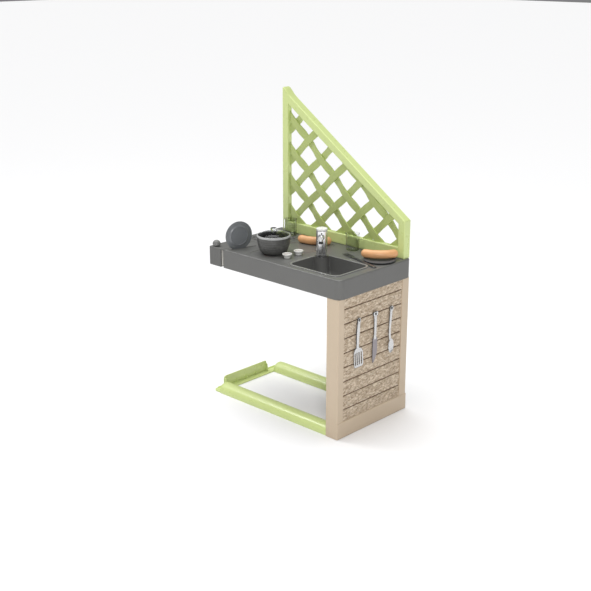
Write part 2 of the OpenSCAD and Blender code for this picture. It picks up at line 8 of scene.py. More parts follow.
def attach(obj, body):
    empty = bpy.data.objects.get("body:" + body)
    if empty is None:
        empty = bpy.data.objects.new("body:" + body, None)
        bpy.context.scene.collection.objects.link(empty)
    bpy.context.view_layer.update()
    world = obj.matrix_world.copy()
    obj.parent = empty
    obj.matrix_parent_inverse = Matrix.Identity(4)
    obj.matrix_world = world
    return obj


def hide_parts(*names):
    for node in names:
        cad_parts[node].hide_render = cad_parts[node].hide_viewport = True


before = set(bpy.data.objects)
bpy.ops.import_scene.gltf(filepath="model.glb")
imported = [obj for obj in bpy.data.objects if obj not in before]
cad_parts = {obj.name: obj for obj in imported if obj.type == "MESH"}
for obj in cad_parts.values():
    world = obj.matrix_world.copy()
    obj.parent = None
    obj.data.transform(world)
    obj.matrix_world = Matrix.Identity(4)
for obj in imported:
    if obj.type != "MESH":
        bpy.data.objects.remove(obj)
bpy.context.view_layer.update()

MM = 0.001
SLIVER = 1e-3  # square mm
# faces whose normal has less X than this get the painted side shade
SIDE_SHADE_COS = 0.82
rad = math.radians

# ---- mesh tools (all sizes in mm)


class Shell:
    """Vertices, faces and each face's material index, gathered loop by loop."""

    def __init__(self):
        self.v, self.f, self.m = [], [], []

    def loop(self, pts):
        i = len(self.v)
        self.v += [tuple(p) for p in pts]
        return list(range(i, len(self.v)))

    def face(self, ring, mat=0):
        self.f.append(tuple(ring))
        self.m.append(mat)

    def bridge(self, a, b, closed=True, mat=0):
        n = len(a)
        for i in range(n if closed else n - 1):
            j = (i + 1) % n
            self.face((a[i], a[j], b[j], b[i]), mat)

    def rings(self, loops, mat=0, first=None):
        """Joins loops in turn, starting from the loop first where it is given."""
        ids = [first] if first else []
        ids += [self.loop(points) for points in loops]
        for a, b in zip(ids, ids[1:]):
            self.bridge(a, b, True, mat)
        return ids

    def cap(self, outer, holes=(), axes=(0, 1), mat=0):
        """Flat face inside the loop outer and outside the holes. axes are the two that span its plane."""
        loops = [outer, *holes]
        ids = [k for ring in loops for k in ring]
        flat = [[tuple(self.v[k][a] for a in axes) for k in ring] for ring in loops]
        edges, base = [], 0
        for ring in loops:
            n = len(ring)
            edges += [(base + i, base + (i + 1) % n) for i in range(n)]
            base += n
        points = [Vector(p) for ring in flat for p in ring]
        spots, _, faces, origins = delaunay_2d_cdt(points, edges, [], 0, 1e-6, True)[:4]
        for face in faces:
            corners = [spots[i] for i in face]
            middle = sum(corners, Vector((0, 0))) / len(face)
            in_hole = any(inside(middle, ring) for ring in flat[1:])
            if abs(area(corners)) > SLIVER and inside(middle, flat[0]) and not in_hole:
                self.face([ids[origins[i][0]] for i in face], mat)

    def plug(self, ids, axes=(0, 1)):
        """Caps the first and the last of a run of loops."""
        self.cap(ids[0], (), axes)
        self.cap(ids[-1], (), axes)

    def fan(self, ring, point, mat=0):
        k = self.loop([point])[0]
        for i in range(len(ring)):
            self.face((ring[i], ring[(i + 1) % len(ring)], k), mat)

    def close(self, *rings):
        """Fans each ring to its own middle."""
        for ring in rings:
            middle = sum((Vector(self.v[k]) for k in ring), Vector()) / len(ring)
            self.fan(ring, tuple(middle))


def inside(p, ring):
    x, y = p[0], p[1]
    hit = False
    for (x0, y0), (x1, y1) in zip(ring, ring[1:] + ring[:1]):
        if (y0 > y) != (y1 > y) and x < x0 + (y - y0) * (x1 - x0) / (y1 - y0):
            hit = not hit
    return hit


def make(name, shell, mats, body, nodes=(), sharp=32, weighted=True, edge=False):
    """Turns a shell into an object that rides on a body and stands for its nodes."""
    me = bpy.data.meshes.new(name)
    me.from_pydata([[c * MM for c in p] for p in shell.v], [], shell.f)
    mats = mats if isinstance(mats, (list, tuple)) else [mats]
    for m in mats:
        me.materials.append(m)
    me.polygons.foreach_set("material_index", shell.m)
    bm = bmesh.new()
    bm.from_mesh(me)
    bmesh.ops.remove_doubles(bm, verts=bm.verts, dist=2e-6)
    bmesh.ops.dissolve_degenerate(bm, edges=bm.edges, dist=1e-6)
    bmesh.ops.recalc_face_normals(bm, faces=bm.faces)
    if edge:
        # faces turned well away from X take the last material, a darker copy: painted shade on the sides
        bm.normal_update()
        for f in bm.faces:
            if abs(f.normal.x) < SIDE_SHADE_COS:
                f.material_index = len(mats) - 1
    bm.to_mesh(me)
    bm.free()
    me.shade_smooth()
    me.set_sharp_from_angle(angle=rad(sharp))
    ob = bpy.data.objects.new(name, me)
    bpy.context.scene.collection.objects.link(ob)
    if weighted:
        w = ob.modifiers.new("normals", "WEIGHTED_NORMAL")
        w.keep_sharp = True
        w.weight = 60
    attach(ob, body)
    if nodes:
        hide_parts(*nodes)
    return ob


def rrect(x0, x1, y0, y1, r, off=0.0, z=0.0, n=8):
    """Rounded rectangle, counter-clockwise, moved outwards by off."""
    if not isinstance(r, (list, tuple)):
        r = [r] * 4
    pts = []
    for k, (cx, cy, sx, sy, a0) in enumerate(
        [(x0, y0, 1, 1, 180), (x1, y0, -1, 1, 270), (x1, y1, -1, -1, 0), (x0, y1, 1, -1, 90)]
    ):
        q = max(r[k] + off, min(0.35, 0.45 * min(x1 - x0 + 2 * off, y1 - y0 + 2 * off)))
        ox, oy = cx - sx * off + sx * q, cy - sy * off + sy * q
        for i in range(n + 1):
            a = rad(a0 + 90 * i / n)
            pts.append((ox + q * math.cos(a), oy + q * math.sin(a), z))
    return pts


def unit(a):
    """Cosine and sine of an angle in degrees."""
    return math.cos(rad(a)), math.sin(rad(a))


def circle(cx, cy, r, z, n=64):
    steps = [2 * math.pi * i / n for i in range(n)]
    return [(cx + r * math.cos(a), cy + r * math.sin(a), z) for a in steps]


def stack(cx, cy, pairs, n):
    """Circles about one upright axis, from pairs of (radius, height)."""
    return [circle(cx, cy, r, z, n) for r, z in pairs]


def layers(loop_at, pairs):
    """One outline at several pairs of (offset, height)."""
    return [loop_at(off, z) for off, z in pairs]


def lift(pairs, base):
    return [(r, base + z) for r, z in pairs]


def arc_profile(r, steps):
    """Quarter round from (0, -r) up to (-r, 0): pairs of (offset, height)."""
    turns = [unit(90 * i / steps) for i in range(steps + 1)]
    return [(-r * (1 - c), -r + r * k) for c, k in turns]


def lathe(s, profile, ring_at, point_at, mat):
    """Joins rings along a profile of (radius, distance). A radius of 0 closes it with a point."""
    last = None
    for r, d in profile:
        current = point_at(d) if r < 1e-6 else s.loop(ring_at(r, d))
        if isinstance(current, tuple):
            if last and not isinstance(last, tuple):
                s.fan(last, current, mat)
        elif isinstance(last, tuple):
            s.fan(current, last, mat)
        elif last:
            s.bridge(last, current, True, mat)
        last = current
    return s


def revolve(profile, cx, cy, n=96, shell=None, mat=0):
    """Profile of (radius, height) turned about an upright axis."""
    return lathe(shell or Shell(), profile, lambda r, z: circle(cx, cy, r, z, n), lambda z: (cx, cy, z), mat)


def spin(s, o, axis, profile, n=48, mat=0):
    """Profile of (radius, distance) turned about an axis through o."""
    axis = Vector(axis).normalized()
    u = axis.orthogonal().normalized()
    v = axis.cross(u)

    def ring_at(r, d):
        return [tuple(Vector(o) + axis * d + (u * c + v * k) * r) for c, k, _ in circle(0, 0, 1, 0, n)]

    return lathe(s, profile, ring_at, lambda d: tuple(Vector(o) + axis * d), mat)


def sweep(s, path, section):
    """Section pairs (u, v) carried along path and closed at both ends."""
    loops = []
    for i, p in enumerate(path):
        before, after = Vector(path[max(i - 1, 0)]), Vector(path[min(i + 1, len(path) - 1)])
        along = (after - before).normalized()
        side = along.cross(Vector((0, 0, 1))).normalized()
        up = side.cross(along).normalized()
        loops.append([tuple(Vector(p) + side * u + up * v) for u, v in section])
    ids = s.rings(loops)
    s.close(ids[0], ids[-1])


def superellipse(a, b, n=20, e=2.6):
    """Rounded rectangle about the origin with half sizes a and b."""
    out = []
    for i in range(n):
        t = 2 * math.pi * i / n
        c, d = math.cos(t), math.sin(t)
        out.append((a * math.copysign(abs(c) ** (2 / e), c), b * math.copysign(abs(d) ** (2 / e), d)))
    return out


def turn(p, a, o=(0, 0)):
    """Point p turned about the upright axis at o."""
    x, y = p[0] - o[0], p[1] - o[1]
    c, s = unit(a)
    return (o[0] + c * x - s * y, o[1] + s * x + c * y, p[2])


def clip(poly, line):
    """Keeps the part of a convex polygon where a*x + b*y <= c."""
    a, b, c = line
    out = []
    for p, q in zip(poly, poly[1:] + poly[:1]):
        dp, dq = a * p[0] + b * p[1] - c, a * q[0] + b * q[1] - c
        if dp <= 0:
            out.append(p)
        if dp * dq < 0:
            t = dp / (dp - dq)
            out.append((p[0] + t * (q[0] - p[0]), p[1] + t * (q[1] - p[1])))
    return out


def inset(poly, d):
    """Convex counter-clockwise polygon moved inwards by d."""
    n, out = len(poly), []
    for i in range(n):
        p0, p1, p2 = Vector(poly[i - 1]), Vector(poly[i]), Vector(poly[(i + 1) % n])
        e0, e1 = (p1 - p0).normalized(), (p2 - p1).normalized()
        n0, n1 = Vector((-e0.y, e0.x)), Vector((-e1.y, e1.x))
        k = 1 + n0.dot(n1)
        out.append(tuple(p1 + (n0 + n1) * (d / max(k, 0.2))))
    return out


def area(poly):
    return sum(p[0] * q[1] - q[0] * p[1] for p, q in zip(poly, poly[1:] + poly[:1])) / 2


def lying(u, v, w):
    return (u, v, w)


def standing(u, v, w):
    return (u, w, v)


def rounded_prism(s, poly, lo, hi, r, place):
    """Convex polygon drawn from lo to hi with rounded ends. place maps (u, v, w) to a point."""
    if area(poly) < 0:
        poly = poly[::-1]
    prof = arc_profile(r, 3)
    low = [[place(u, v, lo - h) for u, v in inset(poly, -o)] for o, h in prof]
    high = [[place(u, v, hi + h) for u, v in inset(poly, -o)] for o, h in prof]
    ids = s.rings(low[::-1] + high)
    s.face(ids[0])
    s.face(ids[-1])


def bar(s, x0, x1, y0, y1, z0, z1, r=0.5):
    """Box with small rounded edges."""
    edge = [(-r, z0), (-0.3 * r, z0 + 0.3 * r), (0, z0 + r), (0, z1 - r), (-0.3 * r, z1 - 0.3 * r), (-r, z1)]
    s.plug(s.rings([rrect(x0, x1, y0, y1, r, o, z, 2) for o, z in edge]))


def flat(loop):
    return [(x, y) for x, y, _ in loop]


def outline(*args, n=6):
    """Function that gives a rounded rectangle's plane points, moved outwards by off."""
    return lambda off: flat(rrect(*args, off, 0, n))


def hole(u, v, r):
    return lambda off: flat(circle(u, v, r + off, 0, 24))


def shape(poly):
    poly = poly if area(poly) > 0 else poly[::-1]
    return lambda off: inset(poly, -off)


def slab(s, outer, holes, lo, hi, r, place, axes=(0, 1), mat=0):
    """Plate from lo to hi with rounded edges round its outline and its holes."""
    prof = arc_profile(r, 3)

    def edge(fn, sign):
        low = [[place(u, v, lo - h) for u, v in fn(sign * o)] for o, h in prof]
        high = [[place(u, v, hi + h) for u, v in fn(sign * o)] for o, h in prof]
        ids = s.rings(low[::-1] + high, mat)
        return ids[-1], ids[0]

    top, low = edge(outer, 1)
    inner = [edge(h, -1) for h in holes]
    s.cap(top, [h[0] for h in inner], axes, mat)
    s.cap(low, [h[1] for h in inner], axes, mat)


# ---- materials


def srgb(r, g, b):
    def linear(c):
        return c / 255 / 12.92 if c <= 10 else ((c / 255 + 0.055) / 1.055) ** 2.4

    return (linear(r), linear(g), linear(b), 1)


def nodes_of(name):
    m = bpy.data.materials.new(name)
    m.use_nodes = True
    t = m.node_tree
    return m, t, t.nodes["Principled BSDF"]


def noise_in(t, scale, detail, rough, vector=None):
    """Noise texture in object coordinates, or in those given."""
    n = t.nodes.new("ShaderNodeTexNoise")
    n.inputs["Scale"].default_value = scale
    n.inputs["Detail"].default_value = detail
    n.inputs["Roughness"].default_value = rough
    t.links.new(vector or t.nodes.new("ShaderNodeTexCoord").outputs["Object"], n.inputs["Vector"])
    return n.outputs["Fac"]


def tones(t, fac, *stops):
    """Colour ramp through stops of (position, colour)."""
    ramp = t.nodes.new("ShaderNodeValToRGB")
    elements = ramp.color_ramp.elements
    while len(elements) < len(stops):
        elements.new(0.5)
    for element, (position, colour) in zip(elements, stops):
        element.position, element.color = position, colour
    t.links.new(fac, ramp.inputs["Fac"])
    return ramp.outputs["Color"]


def gloss(t, b, fac, lo, hi):
    """Roughness between lo and hi."""
    spread = t.nodes.new("ShaderNodeMapRange")
    spread.inputs["To Min"].default_value = lo
    spread.inputs["To Max"].default_value = hi
    t.links.new(fac, spread.inputs["Value"])
    t.links.new(spread.outputs["Result"], b.inputs["Roughness"])


def relief(t, b, fac, strength, distance):
    bump = t.nodes.new("ShaderNodeBump")
    bump.inputs["Strength"].default_value = strength
    bump.inputs["Distance"].default_value = distance
    t.links.new(fac, bump.inputs["Height"])
    t.links.new(bump.outputs["Normal"], b.inputs["Normal"])


def moulded(name, colour, rough=0.35, vary=0.05, grain=900, bump=0.04,
            metallic=0.0, coat=0.0, specular=0.5, blotch=9):
    """Moulded plastic: slow colour drift, uneven gloss and a fine leathery mould grain."""
    m, t, b = nodes_of(name)
    lo = tuple(c * (1 - vary) for c in colour[:3]) + (1,)
    hi = tuple(min(1, c * (1 + vary)) for c in colour[:3]) + (1,)
    t.links.new(tones(t, noise_in(t, blotch, 4, 0.6), (0.3, lo), (0.7, hi)), b.inputs["Base Color"])
    gloss(t, b, noise_in(t, 45, 5, 0.6), max(0.02, rough - 0.06), min(1, rough + 0.08))
    relief(t, b, noise_in(t, grain, 3, 0.55), bump, 0.001)
    b.inputs["Metallic"].default_value = metallic
    b.inputs["Specular IOR Level"].default_value = specular
    b.inputs["Coat Weight"].default_value = coat
    b.inputs["Coat Roughness"].default_value = 0.15
    return m


def chrome(name):
    """Plated plastic with slightly uneven polish."""
    m, t, b = nodes_of(name)
    wear = noise_in(t, 30, 6, 0.65)
    colour = tones(t, wear, (0, (0.74, 0.74, 0.75, 1)), (1, (0.86, 0.86, 0.87, 1)))
    t.links.new(colour, b.inputs["Base Color"])
    gloss(t, b, wear, 0.16, 0.26)
    b.inputs["Metallic"].default_value = 1.0
    return m


def clear(name, tint, ior):
    """Clear plastic with a faint haze."""
    m, t, b = nodes_of(name)
    haze = noise_in(t, 60, 4, 0.6)
    colour = tones(t, haze, (0, tuple(c * 0.95 for c in tint) + (1,)), (1, tint + (1,)))
    t.links.new(colour, b.inputs["Base Color"])
    gloss(t, b, haze, 0.02, 0.06)
    b.inputs["Transmission Weight"].default_value = 1.0
    b.inputs["IOR"].default_value = ior
    return m


def stone():
    """Split stone in courses: mottled facets, darkened in the joints and pits as painted shade."""
    m, t, b = nodes_of("split_stone")
    slant = t.nodes.new("ShaderNodeMapping")
    slant.inputs["Rotation"].default_value = (rad(35), 0, 0)
    slant.inputs["Scale"].default_value = (1, 1, 2.8)
    t.links.new(t.nodes.new("ShaderNodeTexCoord").outputs["Object"], slant.inputs["Vector"])
    mottle = noise_in(t, 64, 7, 0.7, slant.outputs["Vector"])
    face = tones(t, mottle, (0.37, srgb(164, 144, 120)), (0.5, srgb(196, 177, 153)),
                 (0.6, srgb(224, 209, 188)))
    cavity = t.nodes.new("ShaderNodeAttribute")
    cavity.attribute_name = "cavity"
    # dark brown mixed in by the cavity mask: painted shade in the joints and pits
    painted_cavity_shade = t.nodes.new("ShaderNodeMix")
    painted_cavity_shade.data_type = "RGBA"
    painted_cavity_shade.inputs["B"].default_value = srgb(92, 68, 46)
    t.links.new(cavity.outputs["Fac"], painted_cavity_shade.inputs["Factor"])
    t.links.new(face, painted_cavity_shade.inputs["A"])
    t.links.new(painted_cavity_shade.outputs["Result"], b.inputs["Base Color"])
    relief(t, b, noise_in(t, 300, 6, 0.7), 0.35, 0.0012)
    gloss(t, b, mottle, 0.6, 0.85)
    return m


GREEN = moulded("green_plastic", srgb(208, 222, 148), rough=0.28, vary=0.02, bump=0.03, coat=0.25)
# darker copy of the frame's green for the recessed slats: painted shade
SLAT_SHADED_GREEN = moulded("slat_green_plastic", srgb(178, 192, 118), rough=0.36, vary=0.03, bump=0.03)
GREY = moulded("worktop_grey", srgb(102, 102, 100), rough=0.3, vary=0.04, grain=1400, specular=0.45)
HOOKGREY = moulded("hook_grey", srgb(100, 100, 98), rough=0.4, vary=0.05, grain=1400, bump=0.05)
BEIGE = moulded("beige_plastic", srgb(201, 182, 157), rough=0.32, vary=0.02, bump=0.03, coat=0.15)
CHARCOAL = moulded("charcoal_plastic", srgb(82, 82, 80), rough=0.36, vary=0.06, bump=0.05)
DARK = moulded("dark_plastic", srgb(52, 52, 52), rough=0.35, vary=0.06, bump=0.04)
SLATE = moulded("slate_plastic", srgb(114, 117, 120), rough=0.3, vary=0.05, bump=0.03)
WHITE = moulded("white_plastic", srgb(236, 236, 232), rough=0.25, vary=0.015, bump=0.02)
SILVER = moulded("silver_lacquer", srgb(206, 206, 206), rough=0.22, vary=0.05, bump=0.02, metallic=0.8)
# darker copy of the silver for the utensils' side faces: painted shade
SHADE = moulded("silver_lacquer_edge", srgb(74, 74, 76), rough=0.3, vary=0.05, bump=0.02, metallic=0.5)
STEEL = moulded("screw_zinc", srgb(168, 168, 165), rough=0.35, vary=0.06, bump=0.06, metallic=0.9)
SAUSAGE = moulded("sausage_plastic", srgb(228, 172, 120), rough=0.38, vary=0.06, grain=320, bump=0.12,
                  blotch=38)
FORK = moulded("fork_lacquer", srgb(58, 58, 62), rough=0.22, vary=0.05, bump=0.02, specular=0.9)
PLATTER = moulded("serving_slate", srgb(84, 85, 87), rough=0.5, vary=0.04, bump=0.02, specular=0.3)
# lighter than the worktop grey: a painted highlight on the sink's rim
SINK_RIM_HIGHLIGHT = moulded("sink_rim_grey", srgb(124, 124, 122), rough=0.22, vary=0.03, grain=1400, bump=0.02)
# darker than the pot's charcoal: painted shade inside the pot
POT_INSIDE_SHADE = moulded("pot_inside", srgb(44, 44, 44), rough=0.3, vary=0.06, bump=0.03)
KNOBGREY = moulded("clamp_knob_grey", srgb(118, 118, 116), rough=0.42, vary=0.05, bump=0.05)
# greyer copy of the knobs' white for the recessed dish: painted shade
KNOB_DISH_SHADE = moulded("knob_dish_grey", srgb(196, 190, 186), rough=0.4, vary=0.03, bump=0.03)
POTRIM = moulded("pot_rim_grey", srgb(182, 183, 182), rough=0.3, vary=0.05, bump=0.03)
# near-white for the strip in the hook's slot: painted light
SLOT_PAINTED_LIGHT = moulded("slot_liner_foam", srgb(246, 242, 234), rough=0.8, vary=0.04, grain=260, bump=0.2)
BLADE = moulded("blade_lacquer", srgb(150, 144, 148), rough=0.36, vary=0.06, bump=0.03, metallic=0.5)
RING = moulded("burner_ring", srgb(112, 74, 62), rough=0.4, vary=0.08, bump=0.04)
CHROME = chrome("chrome_plating")
CLEAR = clear("clear_plastic", (0.96, 0.975, 0.975), 1.16)
SMOKE = clear("smoke_plastic", (0.87, 0.885, 0.865), 1.15)
STONE = stone()

# CAD nodes that are shown as they are
for name, mat in {
    "panel_inner_cover": BEIGE, "utensil_pegs": CHARCOAL, "tap_nut": CHARCOAL, "clamp_nut": STEEL,
    "panel_cover_screws": STEEL, "worktop_screws": STEEL, "screen_screws": STEEL,
}.items():
    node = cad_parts[name]
    node.data.materials.clear()
    node.data.materials.append(mat)

# ---- worktop

TOP = 597.0
UNDERSIDE = 592.0
HOB = 595.0
BED = 597.3  # height of what stands on the worktop
KNOB_X, KNOB_YS = -4, (-110, -50)
RACK, RACK_TURN = (-224, -142), 72
TAP_X, TAP_Y = 82.0, -17.0
DRAIN = (174, -80.5)
# lower edge that the apron and the hook share: (offset, height)
APRON_EDGE = [(-4, UNDERSIDE), (-4, 526.2), (-3.4, 525.3), (-2.4, 525), (-1, 525), (-0.3, 525.3), (0, 526)]


def worktop_loop(off, z, left=0.0):
    return rrect(-255 + left, 330, -198, 198, [3, 28, 20, 3], off, z, 10)


def slot_loop(grow, z):
    """The plate rack's slot, long with round ends."""
    pts = rrect(-32, 72, -3.5, 3.5, 3.45, grow, z, 6)
    return [turn((x + RACK[0], y + RACK[1], z), RACK_TURN, RACK) for x, y, z in pts]


def hob_loop(off, z):
    return rrect(-153, 25, -171, 140, 30, off, z, 10)


def sink_rect(off, z):
    return rrect(63, 285, -168, 7, 24, off, z, 10)


s = Shell()
outer = s.rings(
    layers(worktop_loop, APRON_EDGE + [(0, 560)])
    + [worktop_loop(o, TOP + h, o * 0.5) for o, h in arc_profile(5, 6)]
)
hob = s.rings(layers(hob_loop, [(1.6, TOP), (0.9, 596.85), (0.2, 596.4), (-0.5, 595.6), (-1.2, 595.15),
                                (-2, HOB)]))
sink_hole = s.rings([sink_rect(3.4, TOP), sink_rect(3.4, UNDERSIDE)])
slot_in = s.rings(layers(slot_loop, [(1.2, TOP), (0.55, 596.8), (0.15, 596.3), (0, 595.6), (0, 589)]))
s.cap(slot_in[-1])
s.cap(outer[-1], [hob[0], sink_hole[0], slot_in[0]])
# hob recess: two burner grooves and the two knob bores
floor_holes = []
for cx, cy, r, n in [(-70, -103, 42, 72), (-70, 24, 77, 96)]:
    outside = s.rings(stack(cx, cy, [(r + 0.9, HOB), (r + 0.2, 594.75), (r, 594.2)], n))
    ring = s.rings(stack(cx, cy, [(r - 3, 594.2)], n), mat=1, first=outside[-1])
    within = s.rings(stack(cx, cy, [(r - 3.2, 594.75), (r - 3.9, HOB)], n), first=ring[-1])
    s.cap(within[-1])
    floor_holes.append(outside[0])
under_holes = []
for ky in KNOB_YS:
    bore = s.rings(stack(KNOB_X, ky, [(3.1, HOB), (3.1, 583), (6.6, 583), (7, 583.5), (7, UNDERSIDE)], 24))
    floor_holes.append(bore[0])
    under_holes.append(bore[-1])
s.cap(hob[-1], floor_holes)
# underside: the slot's pocket, the sink's opening and four screw bosses
pocket_under = s.rings(layers(slot_loop, [(3, UNDERSIDE), (3, 586.5), (2.4, 586)]))
s.cap(pocket_under[-1])
under_holes += [pocket_under[0], sink_hole[-1]]
for y in (-150, -50, 50, 150):
    boss = s.rings(stack(309, y, [(6, UNDERSIDE), (6, 525.1), (2.2, 525.1), (2.2, 575)], 24))
    s.cap(boss[-1])
    under_holes.append(boss[0])
s.cap(outer[0], under_holes)
# tongue under the hook
s.plug(s.rings([rrect(-325, -254, -190, 190, 1, o, z, 2) for o, z in [(-0.6, 588), (0, 588.5), (0, 591.9)]]))
make("worktop_moulding", s, [GREY, RING], "stand", ["worktop"])

# ---- sink basin

SINK_R = 24.0
BOSS_R = 24.0
SINK_FLOOR = 531.0


def sd_rect(x, y):
    """Distance outside the sink's outline, negative inside it."""
    qx, qy = abs(x - DRAIN[0]) - 111 + SINK_R, abs(y - DRAIN[1]) - 87.5 + SINK_R
    return math.hypot(max(qx, 0), max(qy, 0)) + min(max(qx, qy), 0) - SINK_R


def smooth_max(a, b, k=7.0):
    h = max(k - abs(a - b), 0) / k
    return max(a, b) + h * h * k / 4


def sd_basin(x, y):
    """The same for the basin, which the tap's boss bites into."""
    return smooth_max(sd_rect(x, y), BOSS_R - math.hypot(x - TAP_X, y - TAP_Y))


def level(f, off, z):
    """Loop where f equals off: outwards from a point inside, in 4 mm steps and then by halving."""
    cx, cy, n = 186.0, -86.0, 220
    pts = []
    for i in range(n):
        c, k = math.cos(2 * math.pi * i / n), math.sin(2 * math.pi * i / n)
        r = 4.0
        while r < 190 and f(cx + r * c, cy + r * k) < off:
            r += 4.0
        lo, hi = r - 4.0, r
        for _ in range(22):
            mid = (lo + hi) / 2
            if f(cx + mid * c, cy + mid * k) < off:
                lo = mid
            else:
                hi = mid
        pts.append((cx + hi * c, cy + hi * k, z))
    return pts


def rim_loop(off, z):
    return level(sd_rect, off, z)


def bowl_loop(off, z):
    return level(sd_basin, off, z)


s = Shell()
rim = [(3, TOP), (8.6, TOP), (9, 597.4), (9, 598.4), (8.7, 599.2), (8.0, 599.8), (7.0, 600)]
lip = [(2.2, 600), (1.2, 599.85), (0.5, 599.4), (0.1, 598.6)]
bowl = [(0, 597.4), (-0.8, 580), (-1.8, 560), (-2.8, 545), (-3.6, 540), (-5.2, 536.4), (-7.8, 533.6),
        (-11.5, 531.9), (-16, 531.1), (-20, SINK_FLOOR)]
# the rim and lip rings take the lighter grey, a painted highlight
top = s.rings(layers(rim_loop, rim) + layers(bowl_loop, lip), mat=1)
basin = s.rings(layers(bowl_loop, bowl), first=top[-1])
drain = s.rings(stack(*DRAIN, [(22, SINK_FLOOR), (21.2, 530.8), (20.4, 530), (20, 529.6), (3, 529.4)], 48))
s.cap(basin[-1], [drain[0]])
s.cap(drain[-1])
under = s.rings(layers(rim_loop, [(3, TOP), (3, SINK_FLOOR), (2.6, 529.2), (1.0, 528)]))
hollow = s.rings(stack(TAP_X, TAP_Y, [(15.8, 528), (15.8, 592), (8.2, 592)], 40))
s.cap(under[-1], [hollow[0]])
s.bridge(under[0], top[0])
s.cap(hollow[-1])
make("sink_bowl", s, [GREY, SINK_RIM_HIGHLIGHT], "stand", ["sink_basin"])

# ---- sill hook and clamp knob

CLAMP = (-308, -181)


def hook_loop(off, z):
    return rrect(-333, -269, -197.5, 198, [5, 3, 3, 5], off, z, 6)


s = Shell()
s.plug(s.rings(layers(hook_loop, APRON_EDGE + lift(arc_profile(4.5, 6), TOP))))
# plate between the hook and the worktop
plate = [(-0.4, UNDERSIDE), (0, 592.3), (0, 596.4), (-0.2, 596.8), (-0.6, TOP)]
s.plug(s.rings([rrect(-273.4, -255.2, -195.4, 195.4, 0.6, o, z, 2) for o, z in plate]))
# shallow upright ribs on the front face
for i in range(6):
    bar(s, -326.6 + 9 * i, -322.6 + 9 * i, -198, -196.6, 530, 589, 0.5)
make("sill_hook_cap", s, HOOKGREY, "stand", ["sill_hook"])

prof = [(0, 0.3), (8.5, 0.3), (9.2, 0.9), (9.4, 2.0), (10.6, 3.0), (13.2, 4.4), (14.9, 6.4), (15.5, 9.0)]
prof += [(15.5 * c, 8.6 + 15.4 * k) for c, k in map(unit, range(8, 90, 8))] + [(0, 24)]
s = revolve(lift(prof, TOP), *CLAMP, 64)
revolve([(0, 571), (3.6, 571), (4, 571.6), (4, 598), (0, 598)], *CLAMP, 32, s)
make("clamp_dome", s, KNOBGREY, "clamp_knob_body", ["clamp_knob"])

# ---- lattice screen

SR, SL, SF, SB = 320.0, -293.0, 163.0, 198.0
ROOF_TURN = 34.4
TAN, COS = math.tan(rad(ROOF_TURN)), math.cos(rad(ROOF_TURN))
FRAME_W = 29.0


def slope(x, t=0.0):
    """Height of the sloping top edge at x, or of a line t below it, square to the slope."""
    return 740 + TAN * (SR - x) - t / COS


# matched outer and inner corners of the frame, counter-clockwise seen from the front
inner_tl = (SL + 31, slope(SL + 31, FRAME_W))
inner_tr = (SR - FRAME_W, slope(SR - FRAME_W, FRAME_W))
ring_out, ring_in = [], []


def pair(o, i):
    ring_out.append(o)
    ring_in.append(i)


pair((SL, TOP), (SL + 31, 638))
pair((SR, TOP), (SR - FRAME_W, 638))
for c, k in map(unit, range(0, 56, 11)):
    pair((SR - 9.0 + 9.0 * c, slope(SR) - 3.0 + 9.0 * k * 0.62 - 1.4), inner_tr)
pair((-236, slope(-236)), (-240, slope(-240, FRAME_W)))
pair((-252, slope(-252) + 0.6), (-250, slope(-250, FRAME_W)))
pair((-264, slope(-264) + 3.0), (-256, slope(-256, FRAME_W)))
pair((-274, slope(-274) + 7.5), (-259, slope(-259, FRAME_W)))
pair((-282, slope(-282) + 9.5), inner_tl)
pair((-287, 1164), inner_tl)
pair((-291.5, 1165), inner_tl)
pair((SL, 1163), inner_tl)


def frame_ring(t, y):
    """Loop t mm in from the outer corners. At 30 it has reached the inner corners."""
    k = t / 30.0
    return [(o[0] + (i[0] - o[0]) * k, y, o[1] + (i[1] - o[1]) * k) for o, i in zip(ring_out, ring_in)]


sec = [(0.6, SB), (0, SB - 0.6), (0, SF + 4.4)]
sec += [(4.4 - 4.4 * c, SF + 4.4 - 4.4 * k) for c, k in map(unit, (18, 36, 54, 72, 90))]
sec += [(27 + 3 * k, SF + 3 - 3 * c) for c, k in map(unit, (0, 22, 45, 67, 90))]
sec += [(30, SF + 20.4), (29.5, SF + 21), (26.6, SF + 21), (26, SF + 20.4), (26, SF + 4), (4, SF + 4),
        (4, SB - 0.6), (3.4, SB)]
s = Shell()
ids = s.rings([frame_ring(t, y) for t, y in sec])
s.bridge(ids[-1], ids[0])
for x in (-236, -80, 76, 232):
    s.plug(s.rings(stack(x, 183, [(6, 598), (6, 631.6), (5.4, 632)], 24)))
make("screen_surround", s, GREEN, "stand", ["screen_frame"], sharp=40)

# the opening that the slats are cut to, as half planes for clip()
CUT_L, CUT_R = SL + 29.5, SR - FRAME_W + 1.5
quad = [(CUT_L, 636.5), (CUT_R, 636.5), (CUT_R, slope(CUT_R, FRAME_W - 1.5)),
        (CUT_L, slope(CUT_L, FRAME_W - 1.5))]
lines = []
for p, q in zip(quad, quad[1:] + quad[:1]):
    ex, ey = q[0] - p[0], q[1] - p[1]
    lines.append((ey, -ex, ey * p[0] - ex * p[1]))
PITCH_X, PITCH_Z = 132.8, 121.6
CROSSING = -99.5  # x of one crossing of the slats
TILT = math.atan2(PITCH_Z, PITCH_X)
SWING = 3.4
SLAT_HALF = 14


